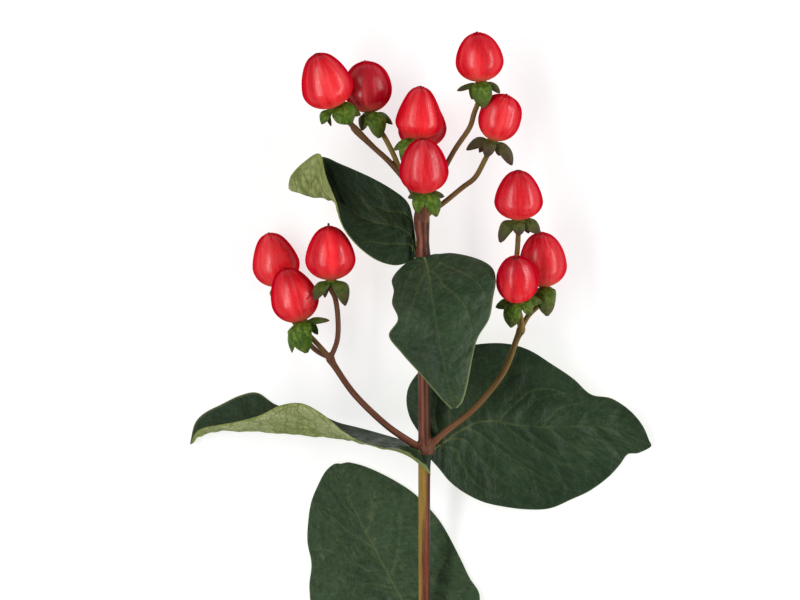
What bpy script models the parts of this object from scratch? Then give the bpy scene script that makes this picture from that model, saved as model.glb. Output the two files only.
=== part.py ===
"""A cut stem of hypericum berries, lying on a flat surface.

+X runs to the right, +Y along the stem towards the berries and +Z up, and the surface is at z = 0.
Every size is in millimetres, measured from the middle node of the stem, and becomes metres when a
mesh is made. The origin is under the middle of the whole stem.
"""

import math

import bmesh
import bpy
import numpy as np
from mathutils import Vector

# Driving dimensions, in millimetres
METRES = 0.001
ORIGIN = Vector((-0.8, 7.9, 0.0))
TOUCH_GAP = 0.3
STEM_SIDES = 10
TWIG_SIDES = 7
STALK_SIDES = 6
STALK_RADIUS = 0.68
STALK_END_STRAIGHT = 1.2
STALK_END_SWELL = 1.25
RIDGE_SHARE = 0.06
LEAF_THICKNESS = 0.66
LEAF_ROWS = 16
LEAF_COLUMNS = 6
BERRY_SIDES = 12
BERRY_RINGS = 9
BERRY_LOBE_SHARE = 0.014
BERRY_FOOT_RADIUS = 1.7
BERRY_TIP_ANGLE = 82.0
TAPER_END = 4
STYLE_GAP = 0.05
STYLE_RADII = (0.5, 0.28)
CALYX_DEPTH = 1.15
CALYX_SIDES = 8
SEPAL_THICKNESS = 0.62
SEPAL_ROOT_RADIUS = 1.0
SEPAL_ROOT_DEPTH = 0.72
SEPAL_SPREAD = 0.9
SEPAL_BEND_SHARE = 0.22
SEPAL_CUP_SHARE = 0.14

# A sepal's face is turned this much towards straight up, or down if it points lower than this
SEPAL_TURN = 1.2
SEPAL_DOWN = -0.3

# The outline of a sepal: the share of its length and of its width there
SEPAL_OUTLINE = ((0.0, 0.5), (0.3, 0.96), (0.62, 0.98), (0.86, 0.66), (1.0, 0.14))

# The outside of a calyx cup: depth below its rim and radius there
CUP_PROFILE = ((CALYX_DEPTH, 0.95), (0.75, 1.45), (0.3, 1.9), (0.0, 1.8))

# The main axis from the cut end up: x, y, z and radius, swollen at each pair of leaves
STEM_ROUTE = (
    (0.0, -88.0, 1.55, 1.60),
    (0.1, -70.0, 3.4, 1.60),
    (0.0, -51.5, 5.6, 1.62),
    (0.0, -48.0, 6.0, 2.15),
    (0.1, -44.5, 6.5, 1.62),
    (0.1, -25.0, 9.4, 1.60),
    (0.1, -4.5, 12.5, 1.66),
    (0.5, -0.5, 13.0, 2.25),
    (0.1, 3.8, 13.5, 1.66),
    (-0.1, 25.0, 15.4, 1.62),
    (-0.2, 43.5, 16.8, 1.66),
    (-0.3, 47.5, 17.0, 2.10),
    (-0.3, 51.5, 17.3, 1.72),
    (-0.6, 57.0, 17.8, 2.15),
    (-0.4, 60.2, 18.2, 1.70),
)

# Side twigs, each from inside the stem to the fork of its fruit stalks: x, y, z and radius
TWIG_ROUTES = {
    "left": (
        (0.4, -0.6, 13.0, 0.95),
        (-3.5, 1.6, 14.0, 0.90),
        (-9.75, 6.0, 14.4, 0.85),
        (-17.25, 13.25, 13.6, 0.82),
        (-22.2, 20.2, 12.6, 0.85),
        (-23.4, 22.2, 12.4, 1.15),
        (-23.9, 23.2, 12.4, 0.80),
    ),
    "right": (
        (0.4, -0.6, 13.2, 0.95),
        (5.25, 4.0, 13.8, 0.88),
        (12.75, 10.1, 14.0, 0.82),
        (19.75, 18.75, 13.8, 0.80),
        (23.2, 27.2, 13.5, 0.82),
        (24.2, 29.4, 13.5, 1.15),
        (24.5, 30.6, 13.4, 0.80),
    ),
    "top_left": (
        (-0.5, 57.5, 17.6, 0.95),
        (-3.2, 64.6, 15.8, 0.80),
        (-8.0, 70.8, 15.6, 0.75),
        (-12.8, 75.3, 16.2, 0.72),
        (-16.9, 79.3, 17.0, 0.95),
        (-18.0, 80.7, 17.3, 0.68),
    ),
}

# Fruits: the berry's foot, its tip, its width, the share of its length where it is widest, how
# strongly it tapers from there, how blunt its top is (2 is a plain ellipse), the length of the dried
# style on its tip, the way of its stalk, and its five sepals. A sepal is the x, y and z of its tip
# and its width.
FRUITS = {
    "01": {
        "foot": (-22.6, 85.0, 18.6), "tip": (-26.7, 98.15, 21.8), "width": 13.2,
        "belly": 0.36, "taper": 0.16, "blunt": 2.0, "style": 0.2,
        "stalk": ((-16.9, 79.3, 17.0), (-18.4, 81.0, 17.4)),
        "sepals": ((-17.9, 81.0, 20.8, 6.2), (-25.5, 80.8, 18.6, 2.8), (-23.2, 80.4, 16.2, 1.4),
                   (-15.9, 83.2, 16.8, 3.6), (-20.4, 80.9, 14.4, 2.6)),
    },
    "02": {
        "foot": (-13.6, 84.0, 12.6), "tip": (-14.8, 96.8, 11.9), "width": 12.0,
        "belly": 0.44, "taper": 0.04, "blunt": 2.4, "style": 0.2,
        "stalk": ((-5.2, 67.2, 15.7), (-7.25, 72.5, 14.8), (-9.75, 77.5, 13.8), (-12.2, 81.0, 12.9)),
        "sepals": ((-11.2, 77.4, 15.9, 5.2), (-7.9, 81.0, 12.2, 2.2), (-15.5, 79.4, 13.4, 1.8),
                   (-15.4, 79.6, 9.4, 2.6), (-10.9, 80.0, 9.4, 2.6)),
    },
    "03": {
        "foot": (-1.5, 77.3, 17.6), "tip": (-0.9, 90.1, 19.6), "width": 11.9,
        "belly": 0.32, "taper": 0.25, "blunt": 2.0, "style": 0.2,
        "stalk": ((-0.5, 58.5, 17.0), (-0.8, 66.0, 15.7), (-0.8, 72.0, 15.9)),
        "sepals": ((-7.7, 74.3, 17.0, 2.2), (-5.7, 71.8, 17.6, 3.6), (-0.9, 74.0, 18.2, 2.2),
                   (3.2, 73.4, 16.8, 2.6), (-1.2, 74.2, 12.6, 2.6)),
    },
    "04": {
        "foot": (0.0, 75.1, 6.1), "tip": (-1.2, 88.2, 5.7), "width": 12.2,
        "belly": 0.37, "taper": 0.1, "blunt": 2.0, "style": 0.2,
        "stalk": ((-0.3, 58.0, 16.4), (0.7, 63.5, 11.6), (1.0, 69.5, 7.4)),
        "sepals": ((4.4, 71.3, 7.6, 2.6), (-0.2, 70.6, 9.9, 2.8), (-4.2, 70.9, 7.2, 2.4),
                   (-1.9, 70.6, 2.9, 2.6), (2.8, 70.8, 3.0, 2.4)),
    },
    "05": {
        "foot": (0.0, 63.9, 21.2), "tip": (-0.4, 76.9, 25.9), "width": 12.3,
        "belly": 0.37, "taper": 0.1, "blunt": 2.0, "style": 0.15,
        "stalk": ((-0.4, 58.0, 18.3), (-0.1, 60.5, 19.6)),
        "sepals": ((-1.8, 58.5, 22.4, 3.2), (3.1, 57.7, 22.4, 4.0), (-4.0, 62.4, 20.8, 1.6),
                   (5.0, 62.7, 20.2, 1.8), (0.1, 62.9, 17.2, 2.0)),
    },
    "06": {
        "foot": (14.2, 91.5, 16.8), "tip": (13.15, 103.7, 17.6), "width": 12.0,
        "belly": 0.4, "taper": 0.06, "blunt": 2.0, "style": 0.2,
        "stalk": ((-0.3, 58.8, 17.6), (3.4, 66.5, 15.9), (7.5, 74.2, 16.2), (11.3, 79.9, 16.4),
                  (12.5, 83.6, 16.5)),
        "sepals": ((14.7, 84.8, 19.4, 5.2), (8.2, 89.2, 16.6, 1.5), (18.9, 88.6, 17.6, 2.0),
                   (12.0, 87.2, 13.0, 2.6), (16.0, 88.1, 13.4, 2.4)),
    },
    "07": {
        "foot": (17.2, 77.0, 14.4), "tip": (20.6, 88.3, 15.2), "width": 10.6,
        "belly": 0.46, "taper": 0.0, "blunt": 2.9, "style": 0.2,
        "stalk": ((-0.2, 57.6, 18.0), (4.6, 61.0, 17.8), (9.5, 65.0, 17.0), (12.75, 67.6, 16.2),
                  (15.2, 72.0, 15.0)),
        "sepals": ((10.6, 74.5, 14.8, 2.9), (22.0, 70.7, 14.8, 3.3), (15.4, 72.5, 17.4, 3.2),
                   (13.9, 74.0, 10.4, 2.4), (19.0, 73.2, 10.4, 2.4)),
    },
    "08": {
        "foot": (23.5, 57.1, 17.6), "tip": (23.4, 69.2, 20.2), "width": 12.2,
        "belly": 0.36, "taper": 0.16, "blunt": 2.0, "style": 0.2,
        "stalk": ((24.2, 29.6, 13.4), (23.5, 33.5, 12.9), (23.0, 38.5, 13.2), (23.0, 45.0, 13.9),
                  (23.4, 51.0, 15.6)),
        "sepals": ((18.9, 51.4, 17.4, 3.7), (28.9, 53.8, 17.0, 3.4), (23.6, 53.0, 19.2, 3.2),
                   (20.7, 53.6, 13.4, 2.4), (26.2, 53.7, 13.4, 2.4)),
    },
    "09": {
        "foot": (30.2, 40.3, 11.9), "tip": (29.1, 54.0, 12.4), "width": 11.9,
        "belly": 0.37, "taper": 0.04, "blunt": 2.2, "style": 0.2,
        "stalk": ((24.2, 29.6, 13.4), (26.2, 33.2, 12.6), (29.4, 36.2, 12.0)),
        "sepals": ((30.8, 33.0, 14.8, 5.2), (32.3, 36.5, 10.6, 2.2), (26.4, 37.8, 11.2, 2.2),
                   (28.6, 36.0, 8.2, 2.6), (32.0, 36.2, 7.8, 2.6)),
    },
    "10": {
        "foot": (23.4, 37.1, 18.1), "tip": (22.7, 47.5, 24.4), "width": 10.6,
        "belly": 0.42, "taper": 0.04, "blunt": 2.2, "style": 0.15,
        "stalk": ((24.2, 29.6, 13.6), (24.3, 32.0, 14.9)),
        "sepals": ((21.6, 30.2, 17.8, 4.6), (17.9, 35.2, 16.8, 2.6), (29.4, 36.6, 16.7, 2.6),
                   (26.6, 33.2, 17.6, 3.0), (22.6, 35.6, 14.8, 2.0)),
    },
    "11": {
        "foot": (-36.1, 40.5, 6.1), "tip": (-39.1, 53.8, 5.5), "width": 12.1,
        "belly": 0.4, "taper": 0.2, "blunt": 2.0, "style": 0.2,
        "stalk": ((-23.4, 22.4, 12.2), (-28.0, 25.2, 9.2), (-33.2, 32.5, 6.6)),
        "sepals": ((-37.9, 36.9, 5.6, 2.4), (-35.0, 36.4, 8.4, 2.2), (-31.9, 37.6, 5.8, 2.2),
                   (-36.2, 36.4, 2.8, 2.4), (-33.2, 37.0, 2.8, 2.4)),
    },
    "12": {
        "foot": (-30.5, 31.7, 14.2), "tip": (-35.1, 44.9, 14.4), "width": 12.0,
        "belly": 0.4, "taper": 0.12, "blunt": 2.0, "style": 0.2,
        "stalk": ((-23.6, 22.6, 12.6), (-27.0, 26.4, 13.6)),
        "sepals": ((-29.3, 23.8, 16.6, 6.2), (-33.0, 23.9, 14.6, 2.6), (-23.6, 31.9, 14.4, 1.7),
                   (-31.9, 27.4, 10.8, 2.4), (-26.6, 28.4, 10.6, 2.4)),
    },
    "13": {
        "foot": (-23.2, 42.0, 17.0), "tip": (-23.8, 55.45, 17.6), "width": 12.6,
        "belly": 0.38, "taper": 0.12, "blunt": 2.0, "style": 0.7,
        "stalk": ((-23.4, 22.4, 12.6), (-21.7, 27.0, 13.4), (-21.5, 32.3, 14.8), (-22.1, 37.2, 16.2)),
        "sepals": ((-27.4, 36.9, 20.0, 3.2), (-19.6, 35.6, 18.6, 4.0), (-24.8, 37.6, 14.2, 2.0),
                   (-22.4, 37.8, 12.6, 2.4), (-20.4, 38.2, 13.6, 2.4)),
    },
}

# Leaves: at each station along the leaf the midrib and the two margins, from the base to the
# tip. Those called left and right grow to the sides, front and back in the other plane.
LEAVES = {
    "leaf_upper_left": {
        "arch": -0.5,
        "stations": (
            ((-2.0, 48.5, 17.0), (-1.9, 50.4, 16.6), (-2.5, 47.0, 17.0)),
            ((-2.8, 52.3, 16.8), (-2.9, 58.0, 14.6), (-5.0, 46.0, 18.4)),
            ((-4.8, 54.5, 16.6), (-4.3, 61.7, 13.8), (-7.8, 45.7, 19.2)),
            ((-7.8, 55.7, 16.4), (-8.0, 64.7, 13.2), (-11.5, 46.8, 20.0)),
            ((-11.5, 56.3, 16.0), (-12.7, 67.4, 12.9), (-15.0, 49.1, 20.6)),
            ((-15.5, 57.8, 15.5), (-17.2, 69.5, 12.8), (-18.2, 52.3, 21.2)),
            ((-19.0, 60.0, 15.0), (-21.2, 71.2, 13.0), (-20.5, 56.0, 21.8)),
            ((-21.5, 61.8, 14.4), (-24.2, 72.6, 13.0), (-21.9, 61.2, 22.2)),
            ((-23.8, 62.6, 13.9), (-26.6, 72.8, 12.6), (-24.5, 67.8, 21.6)),
            ((-26.2, 63.1, 13.4), (-28.4, 71.6, 12.2), (-26.1, 73.4, 18.6)),
            ((-29.5, 63.8, 12.9), (-31.0, 69.8, 12.0), (-30.2, 71.2, 17.0)),
            ((-32.2, 64.4, 12.5), (-33.0, 67.4, 12.0), (-33.1, 68.3, 14.6)),
            ((-33.8, 65.2, 12.4), (-33.9, 65.8, 12.2), (-33.9, 66.0, 13.0)),
        ),
    },
    "leaf_upper_front": {
        "arch": 0.7,
        "stations": (
            ((0.0, 47.8, 19.2), (-1.2, 47.8, 18.7), (1.4, 48.0, 18.7)),
            ((0.7, 45.5, 21.6), (-5.2, 45.5, 19.4), (7.0, 48.6, 19.4)),
            ((1.2, 42.8, 25.0), (-7.9, 42.2, 21.4), (13.2, 47.2, 20.6)),
            ((1.7, 39.3, 28.4), (-7.5, 39.2, 24.0), (16.8, 45.0, 22.4)),
            ((2.2, 35.5, 31.0), (-7.9, 36.0, 25.8), (17.7, 41.8, 24.4)),
            ((2.9, 31.5, 32.6), (-6.5, 32.2, 29.0), (17.0, 37.5, 26.4)),
            ((3.5, 27.0, 33.6), (-8.7, 28.2, 26.6), (16.0, 32.4, 28.2)),
            ((4.5, 22.5, 34.0), (-5.5, 23.8, 29.4), (13.2, 27.8, 29.8)),
            ((5.4, 18.5, 34.0), (-1.0, 18.8, 31.4), (11.8, 22.8, 31.2)),
            ((6.2, 14.8, 33.6), (2.7, 14.4, 32.4), (10.6, 16.3, 32.2)),
            ((7.0, 12.0, 33.0), (5.3, 11.5, 32.6), (9.4, 12.1, 32.5)),
            ((7.3, 10.4, 32.7), (6.7, 10.2, 32.6), (8.0, 10.4, 32.6)),
        ),
    },
    "leaf_middle_left": {
        "arch": -0.4,
        "stations": (
            ((-1.2, -0.5, 15.2), (-1.8, 0.6, 12.2), (1.6, -6.6, 15.8)),
            ((-4.2, 0.5, 14.4), (-4.2, 1.5, 10.0), (-2.4, -2.8, 18.4)),
            ((-7.8, 1.4, 13.2), (-7.6, 2.4, 7.6), (-6.5, -0.7, 20.0)),
            ((-11.5, 1.9, 12.1), (-12.0, 3.6, 5.4), (-11.0, 0.3, 21.0)),
            ((-15.5, 2.2, 11.0), (-16.6, 4.8, 3.8), (-16.0, 1.8, 21.4)),
            ((-19.5, 2.6, 10.0), (-21.5, 6.0, 2.4), (-20.3, 4.4, 21.2)),
            ((-24.0, 3.0, 9.0), (-26.5, 8.0, 1.4), (-24.7, 8.1, 19.8)),
            ((-29.0, 3.5, 8.0), (-31.6, 8.8, 0.8), (-30.2, 11.1, 18.0)),
            ((-34.2, 3.9, 7.0), (-37.6, 10.6, 0.4), (-35.6, 10.7, 16.6)),
            ((-39.8, 4.3, 6.0), (-42.1, 13.5, 0.3), (-41.0, 8.1, 14.6)),
            ((-45.2, 4.5, 5.0), (-46.5, 12.8, 0.3), (-46.2, 6.6, 12.0)),
            ((-50.5, 4.6, 4.0), (-51.3, 10.5, 0.3), (-51.2, 5.6, 9.0)),
            ((-54.8, 3.9, 3.0), (-55.4, 8.4, 0.5), (-55.2, 4.8, 6.0)),
            ((-57.4, 2.5, 2.2), (-57.8, 5.8, 0.8), (-57.4, 3.6, 3.6)),
            ((-58.9, 0.6, 1.5), (-58.9, 1.3, 1.3), (-58.8, 0.9, 1.8)),
        ),
    },
    "leaf_middle_right": {
        "arch": 0.5,
        "stations": (
            ((1.8, -0.8, 11.2), (-1.2, 3.8, 9.3), (1.6, -2.8, 10.8)),
            ((3.5, 0.3, 10.6), (-3.5, 7.5, 9.0), (3.8, -5.3, 9.5)),
            ((5.5, 1.6, 10.0), (-4.4, 11.8, 9.0), (6.5, -8.6, 8.0)),
            ((8.0, 3.4, 9.6), (-3.5, 15.9, 9.2), (10.2, -11.5, 6.4)),
            ((10.8, 5.1, 9.2), (0.0, 20.2, 9.6), (15.0, -13.9, 4.8)),
            ((14.0, 6.4, 8.8), (5.8, 23.9, 9.8), (20.5, -15.2, 3.2)),
            ((17.8, 6.5, 8.5), (12.8, 25.8, 9.6), (26.5, -15.9, 2.0)),
            ((21.8, 5.8, 8.1), (20.3, 26.1, 9.0), (32.0, -15.6, 1.1)),
            ((26.0, 5.3, 7.6), (26.3, 24.5, 8.2), (37.3, -13.4, 0.6)),
            ((30.5, 5.0, 7.1), (32.0, 21.0, 7.6), (42.0, -11.2, 0.3)),
            ((35.0, 5.1, 6.6), (37.5, 17.3, 7.1), (46.5, -7.9, 0.3)),
            ((39.5, 5.2, 6.0), (42.0, 13.3, 6.6), (49.5, -4.7, 0.3)),
            ((44.0, 5.0, 5.2), (47.3, 12.2, 5.8), (51.5, -2.0, 0.5)),
            ((48.5, 4.0, 4.0), (52.0, 9.1, 4.5), (54.0, -1.7, 0.8)),
            ((53.0, 2.3, 2.6), (55.3, 5.2, 3.0), (56.0, -0.9, 1.0)),
            ((57.5, 0.2, 1.3), (57.2, 0.9, 1.4), (57.1, -0.3, 1.2)),
        ),
    },
    "leaf_lower_back": {
        "arch": 0.0,
        "stations": (
            ((-0.4, -47.6, 5.0), (-2.6, -49.8, 4.2), (2.6, -49.2, 4.2)),
            ((-2.5, -44.0, 3.3), (-11.5, -51.0, 2.4), (9.0, -48.2, 2.6)),
            ((-4.5, -40.5, 2.4), (-21.0, -48.0, 1.2), (13.2, -43.0, 1.8)),
            ((-6.5, -37.0, 1.7), (-27.5, -42.5, 0.6), (14.1, -37.5, 1.4)),
            ((-8.5, -33.2, 1.2), (-28.9, -36.0, 0.35), (11.5, -33.0, 1.2)),
            ((-10.8, -29.0, 0.8), (-28.4, -29.8, 0.33), (9.2, -28.2, 1.0)),
            ((-13.0, -24.8, 0.45), (-29.4, -24.2, 0.33), (6.0, -22.0, 0.8)),
            ((-15.2, -20.5, 0.33), (-29.2, -18.8, 0.33), (3.0, -17.5, 0.6)),
            ((-17.2, -16.5, 0.33), (-28.4, -13.9, 0.33), (-2.2, -12.1, 0.45)),
            ((-19.0, -12.5, 0.33), (-26.5, -9.3, 0.33), (-7.8, -8.4, 0.36)),
            ((-20.4, -8.8, 0.33), (-24.8, -6.3, 0.33), (-14.0, -5.4, 0.34)),
            ((-21.1, -6.0, 0.33), (-22.9, -4.6, 0.33), (-18.5, -4.1, 0.33)),
            ((-21.0, -4.4, 0.33), (-21.7, -4.3, 0.33), (-20.2, -4.2, 0.33)),
        ),
    },
    "leaf_lower_front": {
        "arch": 0.6,
        "stations": (
            ((1.2, -48.6, 8.2), (0.9, -46.4, 8.5), (0.0, -50.8, 8.5)),
            ((4.0, -50.6, 10.5), (8.0, -43.6, 10.0), (-2.5, -57.0, 11.0)),
            ((8.0, -54.0, 13.3), (15.5, -44.0, 11.6), (-1.5, -63.2, 13.0)),
            ((13.0, -58.2, 15.4), (21.5, -47.0, 13.2), (4.0, -69.0, 14.6)),
            ((18.0, -62.3, 16.4), (26.4, -51.6, 14.6), (9.8, -72.7, 15.5)),
            ((23.0, -66.2, 16.4), (29.8, -57.4, 15.0), (16.0, -74.8, 15.8)),
            ((27.5, -69.8, 15.6), (32.2, -63.6, 14.8), (22.5, -75.8, 15.2)),
            ((31.0, -72.4, 14.6), (33.4, -69.4, 14.2), (28.2, -75.4, 14.3)),
            ((33.6, -74.3, 13.6), (34.0, -73.7, 13.6), (33.0, -74.9, 13.6)),
        ),
    },
}

LEAF_COLOUR = (0.026, 0.050, 0.028)
STEM_COLOUR = (0.17, 0.085, 0.06)
CALYX_COLOUR = (0.11, 0.16, 0.045)
BERRY_COLOUR = (0.62, 0.018, 0.03)


def clear_scene():
    for old in list(bpy.data.objects):
        bpy.data.objects.remove(old, do_unlink=True)


def material(name, colour, roughness):
    made = bpy.data.materials.new(name)
    made.use_nodes = True
    shader = made.node_tree.nodes["Principled BSDF"]
    shader.inputs["Base Color"].default_value = (*colour, 1.0)
    shader.inputs["Roughness"].default_value = roughness
    shader.inputs["Metallic"].default_value = 0.0
    return made


def solid(name, points, faces, finish=None):
    """A mesh object from points in millimetres, with its faces turned outwards."""
    mesh = bpy.data.meshes.new(name)
    mesh.from_pydata([(Vector(point) - ORIGIN) * METRES for point in points], [], faces)
    shape = bmesh.new()
    shape.from_mesh(mesh)
    bmesh.ops.recalc_face_normals(shape, faces=shape.faces)
    if shape.calc_volume(signed=True) < 0:
        bmesh.ops.reverse_faces(shape, faces=shape.faces)
    shape.to_mesh(mesh)
    shape.free()
    mesh.shade_smooth()
    mesh.set_sharp_from_angle(angle=math.radians(40))
    if finish:
        mesh.materials.append(finish)
    made = bpy.data.objects.new(name, mesh)
    bpy.context.scene.collection.objects.link(made)
    return made


def applied(shape):
    """The object with its modifiers worked into its mesh."""
    graph = bpy.context.evaluated_depsgraph_get()
    mesh = bpy.data.meshes.new_from_object(shape.evaluated_get(graph))
    shape.modifiers.clear()
    shape.data = mesh
    return shape


def fused(shape, others, solver="EXACT"):
    """The object with the others joined to it in one Boolean union."""
    group = bpy.data.collections.new(shape.name + "_repeats")
    bpy.context.scene.collection.children.link(group)
    for other in others:
        bpy.context.scene.collection.objects.unlink(other)
        group.objects.link(other)
    join = shape.modifiers.new("Join", "BOOLEAN")
    join.operation = "UNION"
    join.solver = solver
    join.operand_type = "COLLECTION"
    join.collection = group
    applied(shape)
    for other in others:
        bpy.data.objects.remove(other, do_unlink=True)
    bpy.data.collections.remove(group)
    return shape


def keep_largest(shape):
    """Drops the loose scraps that a cut leaves beside the main body."""
    mesh = bmesh.new()
    mesh.from_mesh(shape.data)
    left = set(mesh.verts)
    bodies = []
    while left:
        body = {left.pop()}
        edge = set(body)
        while edge:
            edge = {link.other_vert(vert) for vert in edge for link in vert.link_edges} - body
            body |= edge
        left -= body
        bodies.append(body)
    bodies.sort(key=len)
    scraps = [vert for body in bodies[:-1] for vert in body]
    bmesh.ops.delete(mesh, geom=scraps, context="VERTS")
    mesh.to_mesh(shape.data)
    mesh.free()


def smooth_line(points, spans):
    """Evenly spaced samples of a smooth curve through the points, of any number of columns."""
    keys = np.array(points, float)
    before = 2 * keys[0] - keys[1]
    after = 2 * keys[-1] - keys[-2]
    keys = np.vstack([before, keys, after])
    last = len(points) - 1
    found = []
    for place in np.linspace(0, last, spans + 1):
        index = min(int(place), last - 1)
        t = place - index
        a, b, c, d = keys[index:index + 4]
        found.append(0.5 * (2 * b + (c - a) * t + (2 * a - 5 * b + 4 * c - d) * t**2
                            + (3 * b - a - 3 * c + d) * t**3))
    return np.array(found)


def ringed(rings):
    """Points and faces of a closed body through rings of equal counts, with flat ends."""
    count = len(rings[0])
    points = [point for ring in rings for point in ring]
    faces = []
    for row in range(len(rings) - 1):
        for side in range(count):
            here = row * count + side
            beside = row * count + (side + 1) % count
            faces.append((here, beside, beside + count, here + count))
    faces.append(tuple(range(count))[::-1])
    faces.append(tuple(range(len(points) - count, len(points))))
    return points, faces


def tube(name, route, sides, spans, finish=None, ridge=0.0, extra=0.0):
    """A round body along a route of x, y, z and radius, with a ridge on two sides."""
    line = smooth_line(route, spans)
    centres = [Vector(row[:3]) for row in line]
    rings = []
    across = Vector((0, 0, 1))
    for index, centre in enumerate(centres):
        ahead = centres[min(index + 1, spans)] - centres[max(index - 1, 0)]
        ahead.normalize()
        across = (across - ahead * across.dot(ahead)).normalized()
        beside = ahead.cross(across)
        ring = []
        for side in range(sides):
            turn = 2 * math.pi * side / sides
            radius = (float(line[index][3]) + extra) * (1 + ridge * math.cos(2 * turn))
            ring.append(centre + radius * (math.cos(turn) * across + math.sin(turn) * beside))
        rings.append(ring)
    return solid(name, *ringed(rings), finish)


def fruit_frame(fruit):
    """The foot of a berry and its axis, its way to the right and its way up."""
    foot = Vector(fruit["foot"])
    axis = (Vector(fruit["tip"]) - foot).normalized()
    up = Vector((0, 0, 1))
    up = (up - axis * up.dot(axis)).normalized()
    return foot, axis, axis.cross(up), up


def stalk_route(fruit):
    """The points of a fruit stalk, ending just under its calyx."""
    foot, axis, _, _ = fruit_frame(fruit)
    end = foot - axis * (CALYX_DEPTH + 1.5 * TOUCH_GAP)
    before = end - axis * STALK_END_STRAIGHT
    route = [(*point, STALK_RADIUS) for point in fruit["stalk"]]
    return route + [(*before, STALK_RADIUS), (*end, STALK_RADIUS * STALK_END_SWELL)]


def stem_tubes(extra=0.0, finish=None):
    """The main axis and, as separate bodies, the twigs and stalks that grow from it."""
    axis = tube("stem", STEM_ROUTE, STEM_SIDES, 2 * (len(STEM_ROUTE) - 1), finish, RIDGE_SHARE, extra)
    grown = []
    for name, route in TWIG_ROUTES.items():
        grown.append(tube("twig_" + name, route, TWIG_SIDES, 2 * len(route), finish, 0.0, extra))
    for name, fruit in FRUITS.items():
        route = stalk_route(fruit)
        grown.append(tube("stalk_" + name, route, STALK_SIDES, 2 * len(route) - 1, finish, 0.0, extra))
    return axis, grown


def flatten_feet(shape):
    """Presses what would reach below the surface flat onto it."""
    for vertex in shape.data.vertices:
        vertex.co.z = max(vertex.co.z, 0.0)


def build_stem():
    bark = material("stem_bark", STEM_COLOUR, 0.5)
    axis, grown = stem_tubes(0.0, bark)
    stem = fused(axis, grown)
    flatten_feet(stem)
    return stem


def leaf_grid(stations, arch):
    """Points on the middle of a blade and their normals, in rows from base to tip."""
    line = smooth_line([sum(station, ()) for station in stations], LEAF_ROWS)
    half = LEAF_COLUMNS // 2
    grid = np.empty((LEAF_ROWS + 1, LEAF_COLUMNS + 1, 3))
    for column in range(LEAF_COLUMNS + 1):
        share = abs(column - half) / half
        margin = line[:, 3:6] if column < half else line[:, 6:9]
        grid[:, column] = (1 - share) * line[:, 0:3] + share * margin
    rise = 4 * arch * np.array([abs(c - half) / half * (1 - abs(c - half) / half)
                                for c in range(LEAF_COLUMNS + 1)])
    widths = np.linalg.norm(line[:, 3:6] - line[:, 6:9], axis=1)
    grid += (blade_normals(grid) * rise[None, :, None]
             * (widths / widths.max())[:, None, None])
    return grid, blade_normals(grid)


def blade_normals(grid):
    along = np.gradient(grid, axis=0)
    across = np.gradient(grid, axis=1)
    normals = np.cross(along, across)
    return normals / np.linalg.norm(normals, axis=2, keepdims=True)


def leaf(name, stations, arch, finish):
    """A thin blade, split into triangles the same way on both faces."""
    grid, normals = leaf_grid(stations, arch)
    rows, columns = LEAF_ROWS + 1, LEAF_COLUMNS + 1
    half = LEAF_THICKNESS / 2
    points = np.vstack([(grid + half * normals).reshape(-1, 3), (grid - half * normals).reshape(-1, 3)])
    below = rows * columns
    faces = []
    for row in range(rows - 1):
        for column in range(columns - 1):
            a = row * columns + column
            b, c, d = a + 1, a + columns + 1, a + columns
            faces += [(a, b, c), (a, c, d)]
            faces += [(a + below, c + below, b + below), (a + below, d + below, c + below)]
    rim = list(range(columns))
    rim += [row * columns + columns - 1 for row in range(1, rows)]
    rim += [(rows - 1) * columns + column for column in range(columns - 2, -1, -1)]
    rim += [row * columns for row in range(rows - 2, 0, -1)]
    for here, there in zip(rim, rim[1:] + rim[:1]):
        faces += [(here, here + below, there + below), (here, there + below, there)]
    return solid(name, points.tolist(), faces, finish)


def stem_clearance():
    """A hidden cutter, the stem made fatter by the gap that touching pieces keep."""
    axis, grown = stem_tubes(TOUCH_GAP)
    cutter = fused(axis, grown)
    cutter.name = "stem_clearance"
    cutter.hide_render = True
    cutter.display_type = "WIRE"
    return cutter


def build_leaves(cutter):
    for name, shape in LEAVES.items():
        green = material(name + "_green", LEAF_COLOUR, 0.45)
        blade = leaf(name, shape["stations"], shape["arch"], green)
        trim = blade.modifiers.new("Trim", "BOOLEAN")
        trim.operation = "DIFFERENCE"
        trim.solver = "MANIFOLD"
        trim.object = cutter
        applied(blade)
        keep_largest(blade)
        flatten_feet(blade)


def turned(name, fruit, profile, sides, finish, lobe=0.0):
    """A body turned round a fruit's axis from heights and radii, with three soft lobes."""
    foot, axis, right, up = fruit_frame(fruit)
    rings = []
    for height, radius in profile:
        ring = []
        for side in range(sides):
            turn = 2 * math.pi * side / sides
            reach = radius * (1 + lobe * math.cos(3 * turn))
            ring.append(foot + axis * height + reach * (math.cos(turn) * right + math.sin(turn) * up))
        rings.append(ring)
    return solid(name, *ringed(rings), finish)


def berry_profile(fruit):
    """Heights and radii from the flat foot, over the belly and the taper, to the dried style."""
    length = (Vector(fruit["tip"]) - Vector(fruit["foot"])).length
    lowest = -math.acos(2 * BERRY_FOOT_RADIUS / fruit["width"])
    base = TOUCH_GAP / 2
    belly = base + fruit["belly"] * (length - base)
    profile = []
    for angle in np.linspace(lowest, math.radians(BERRY_TIP_ANGLE), BERRY_RINGS):
        sine = math.sin(angle)
        if angle < 0:
            height = belly - (belly - base) * sine / math.sin(lowest)
            radius = fruit["width"] / 2 * math.cos(angle)
        else:
            height = belly + (length - belly) * sine
            narrowing = 1 - fruit["taper"] * sine * (1 - sine**TAPER_END)
            radius = fruit["width"] / 2 * math.sqrt(1 - sine ** fruit["blunt"]) * narrowing
        profile.append((height, radius))
    crown = length + STYLE_GAP
    return profile + [(crown, STYLE_RADII[0]), (crown + fruit["style"], STYLE_RADII[1])]


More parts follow.
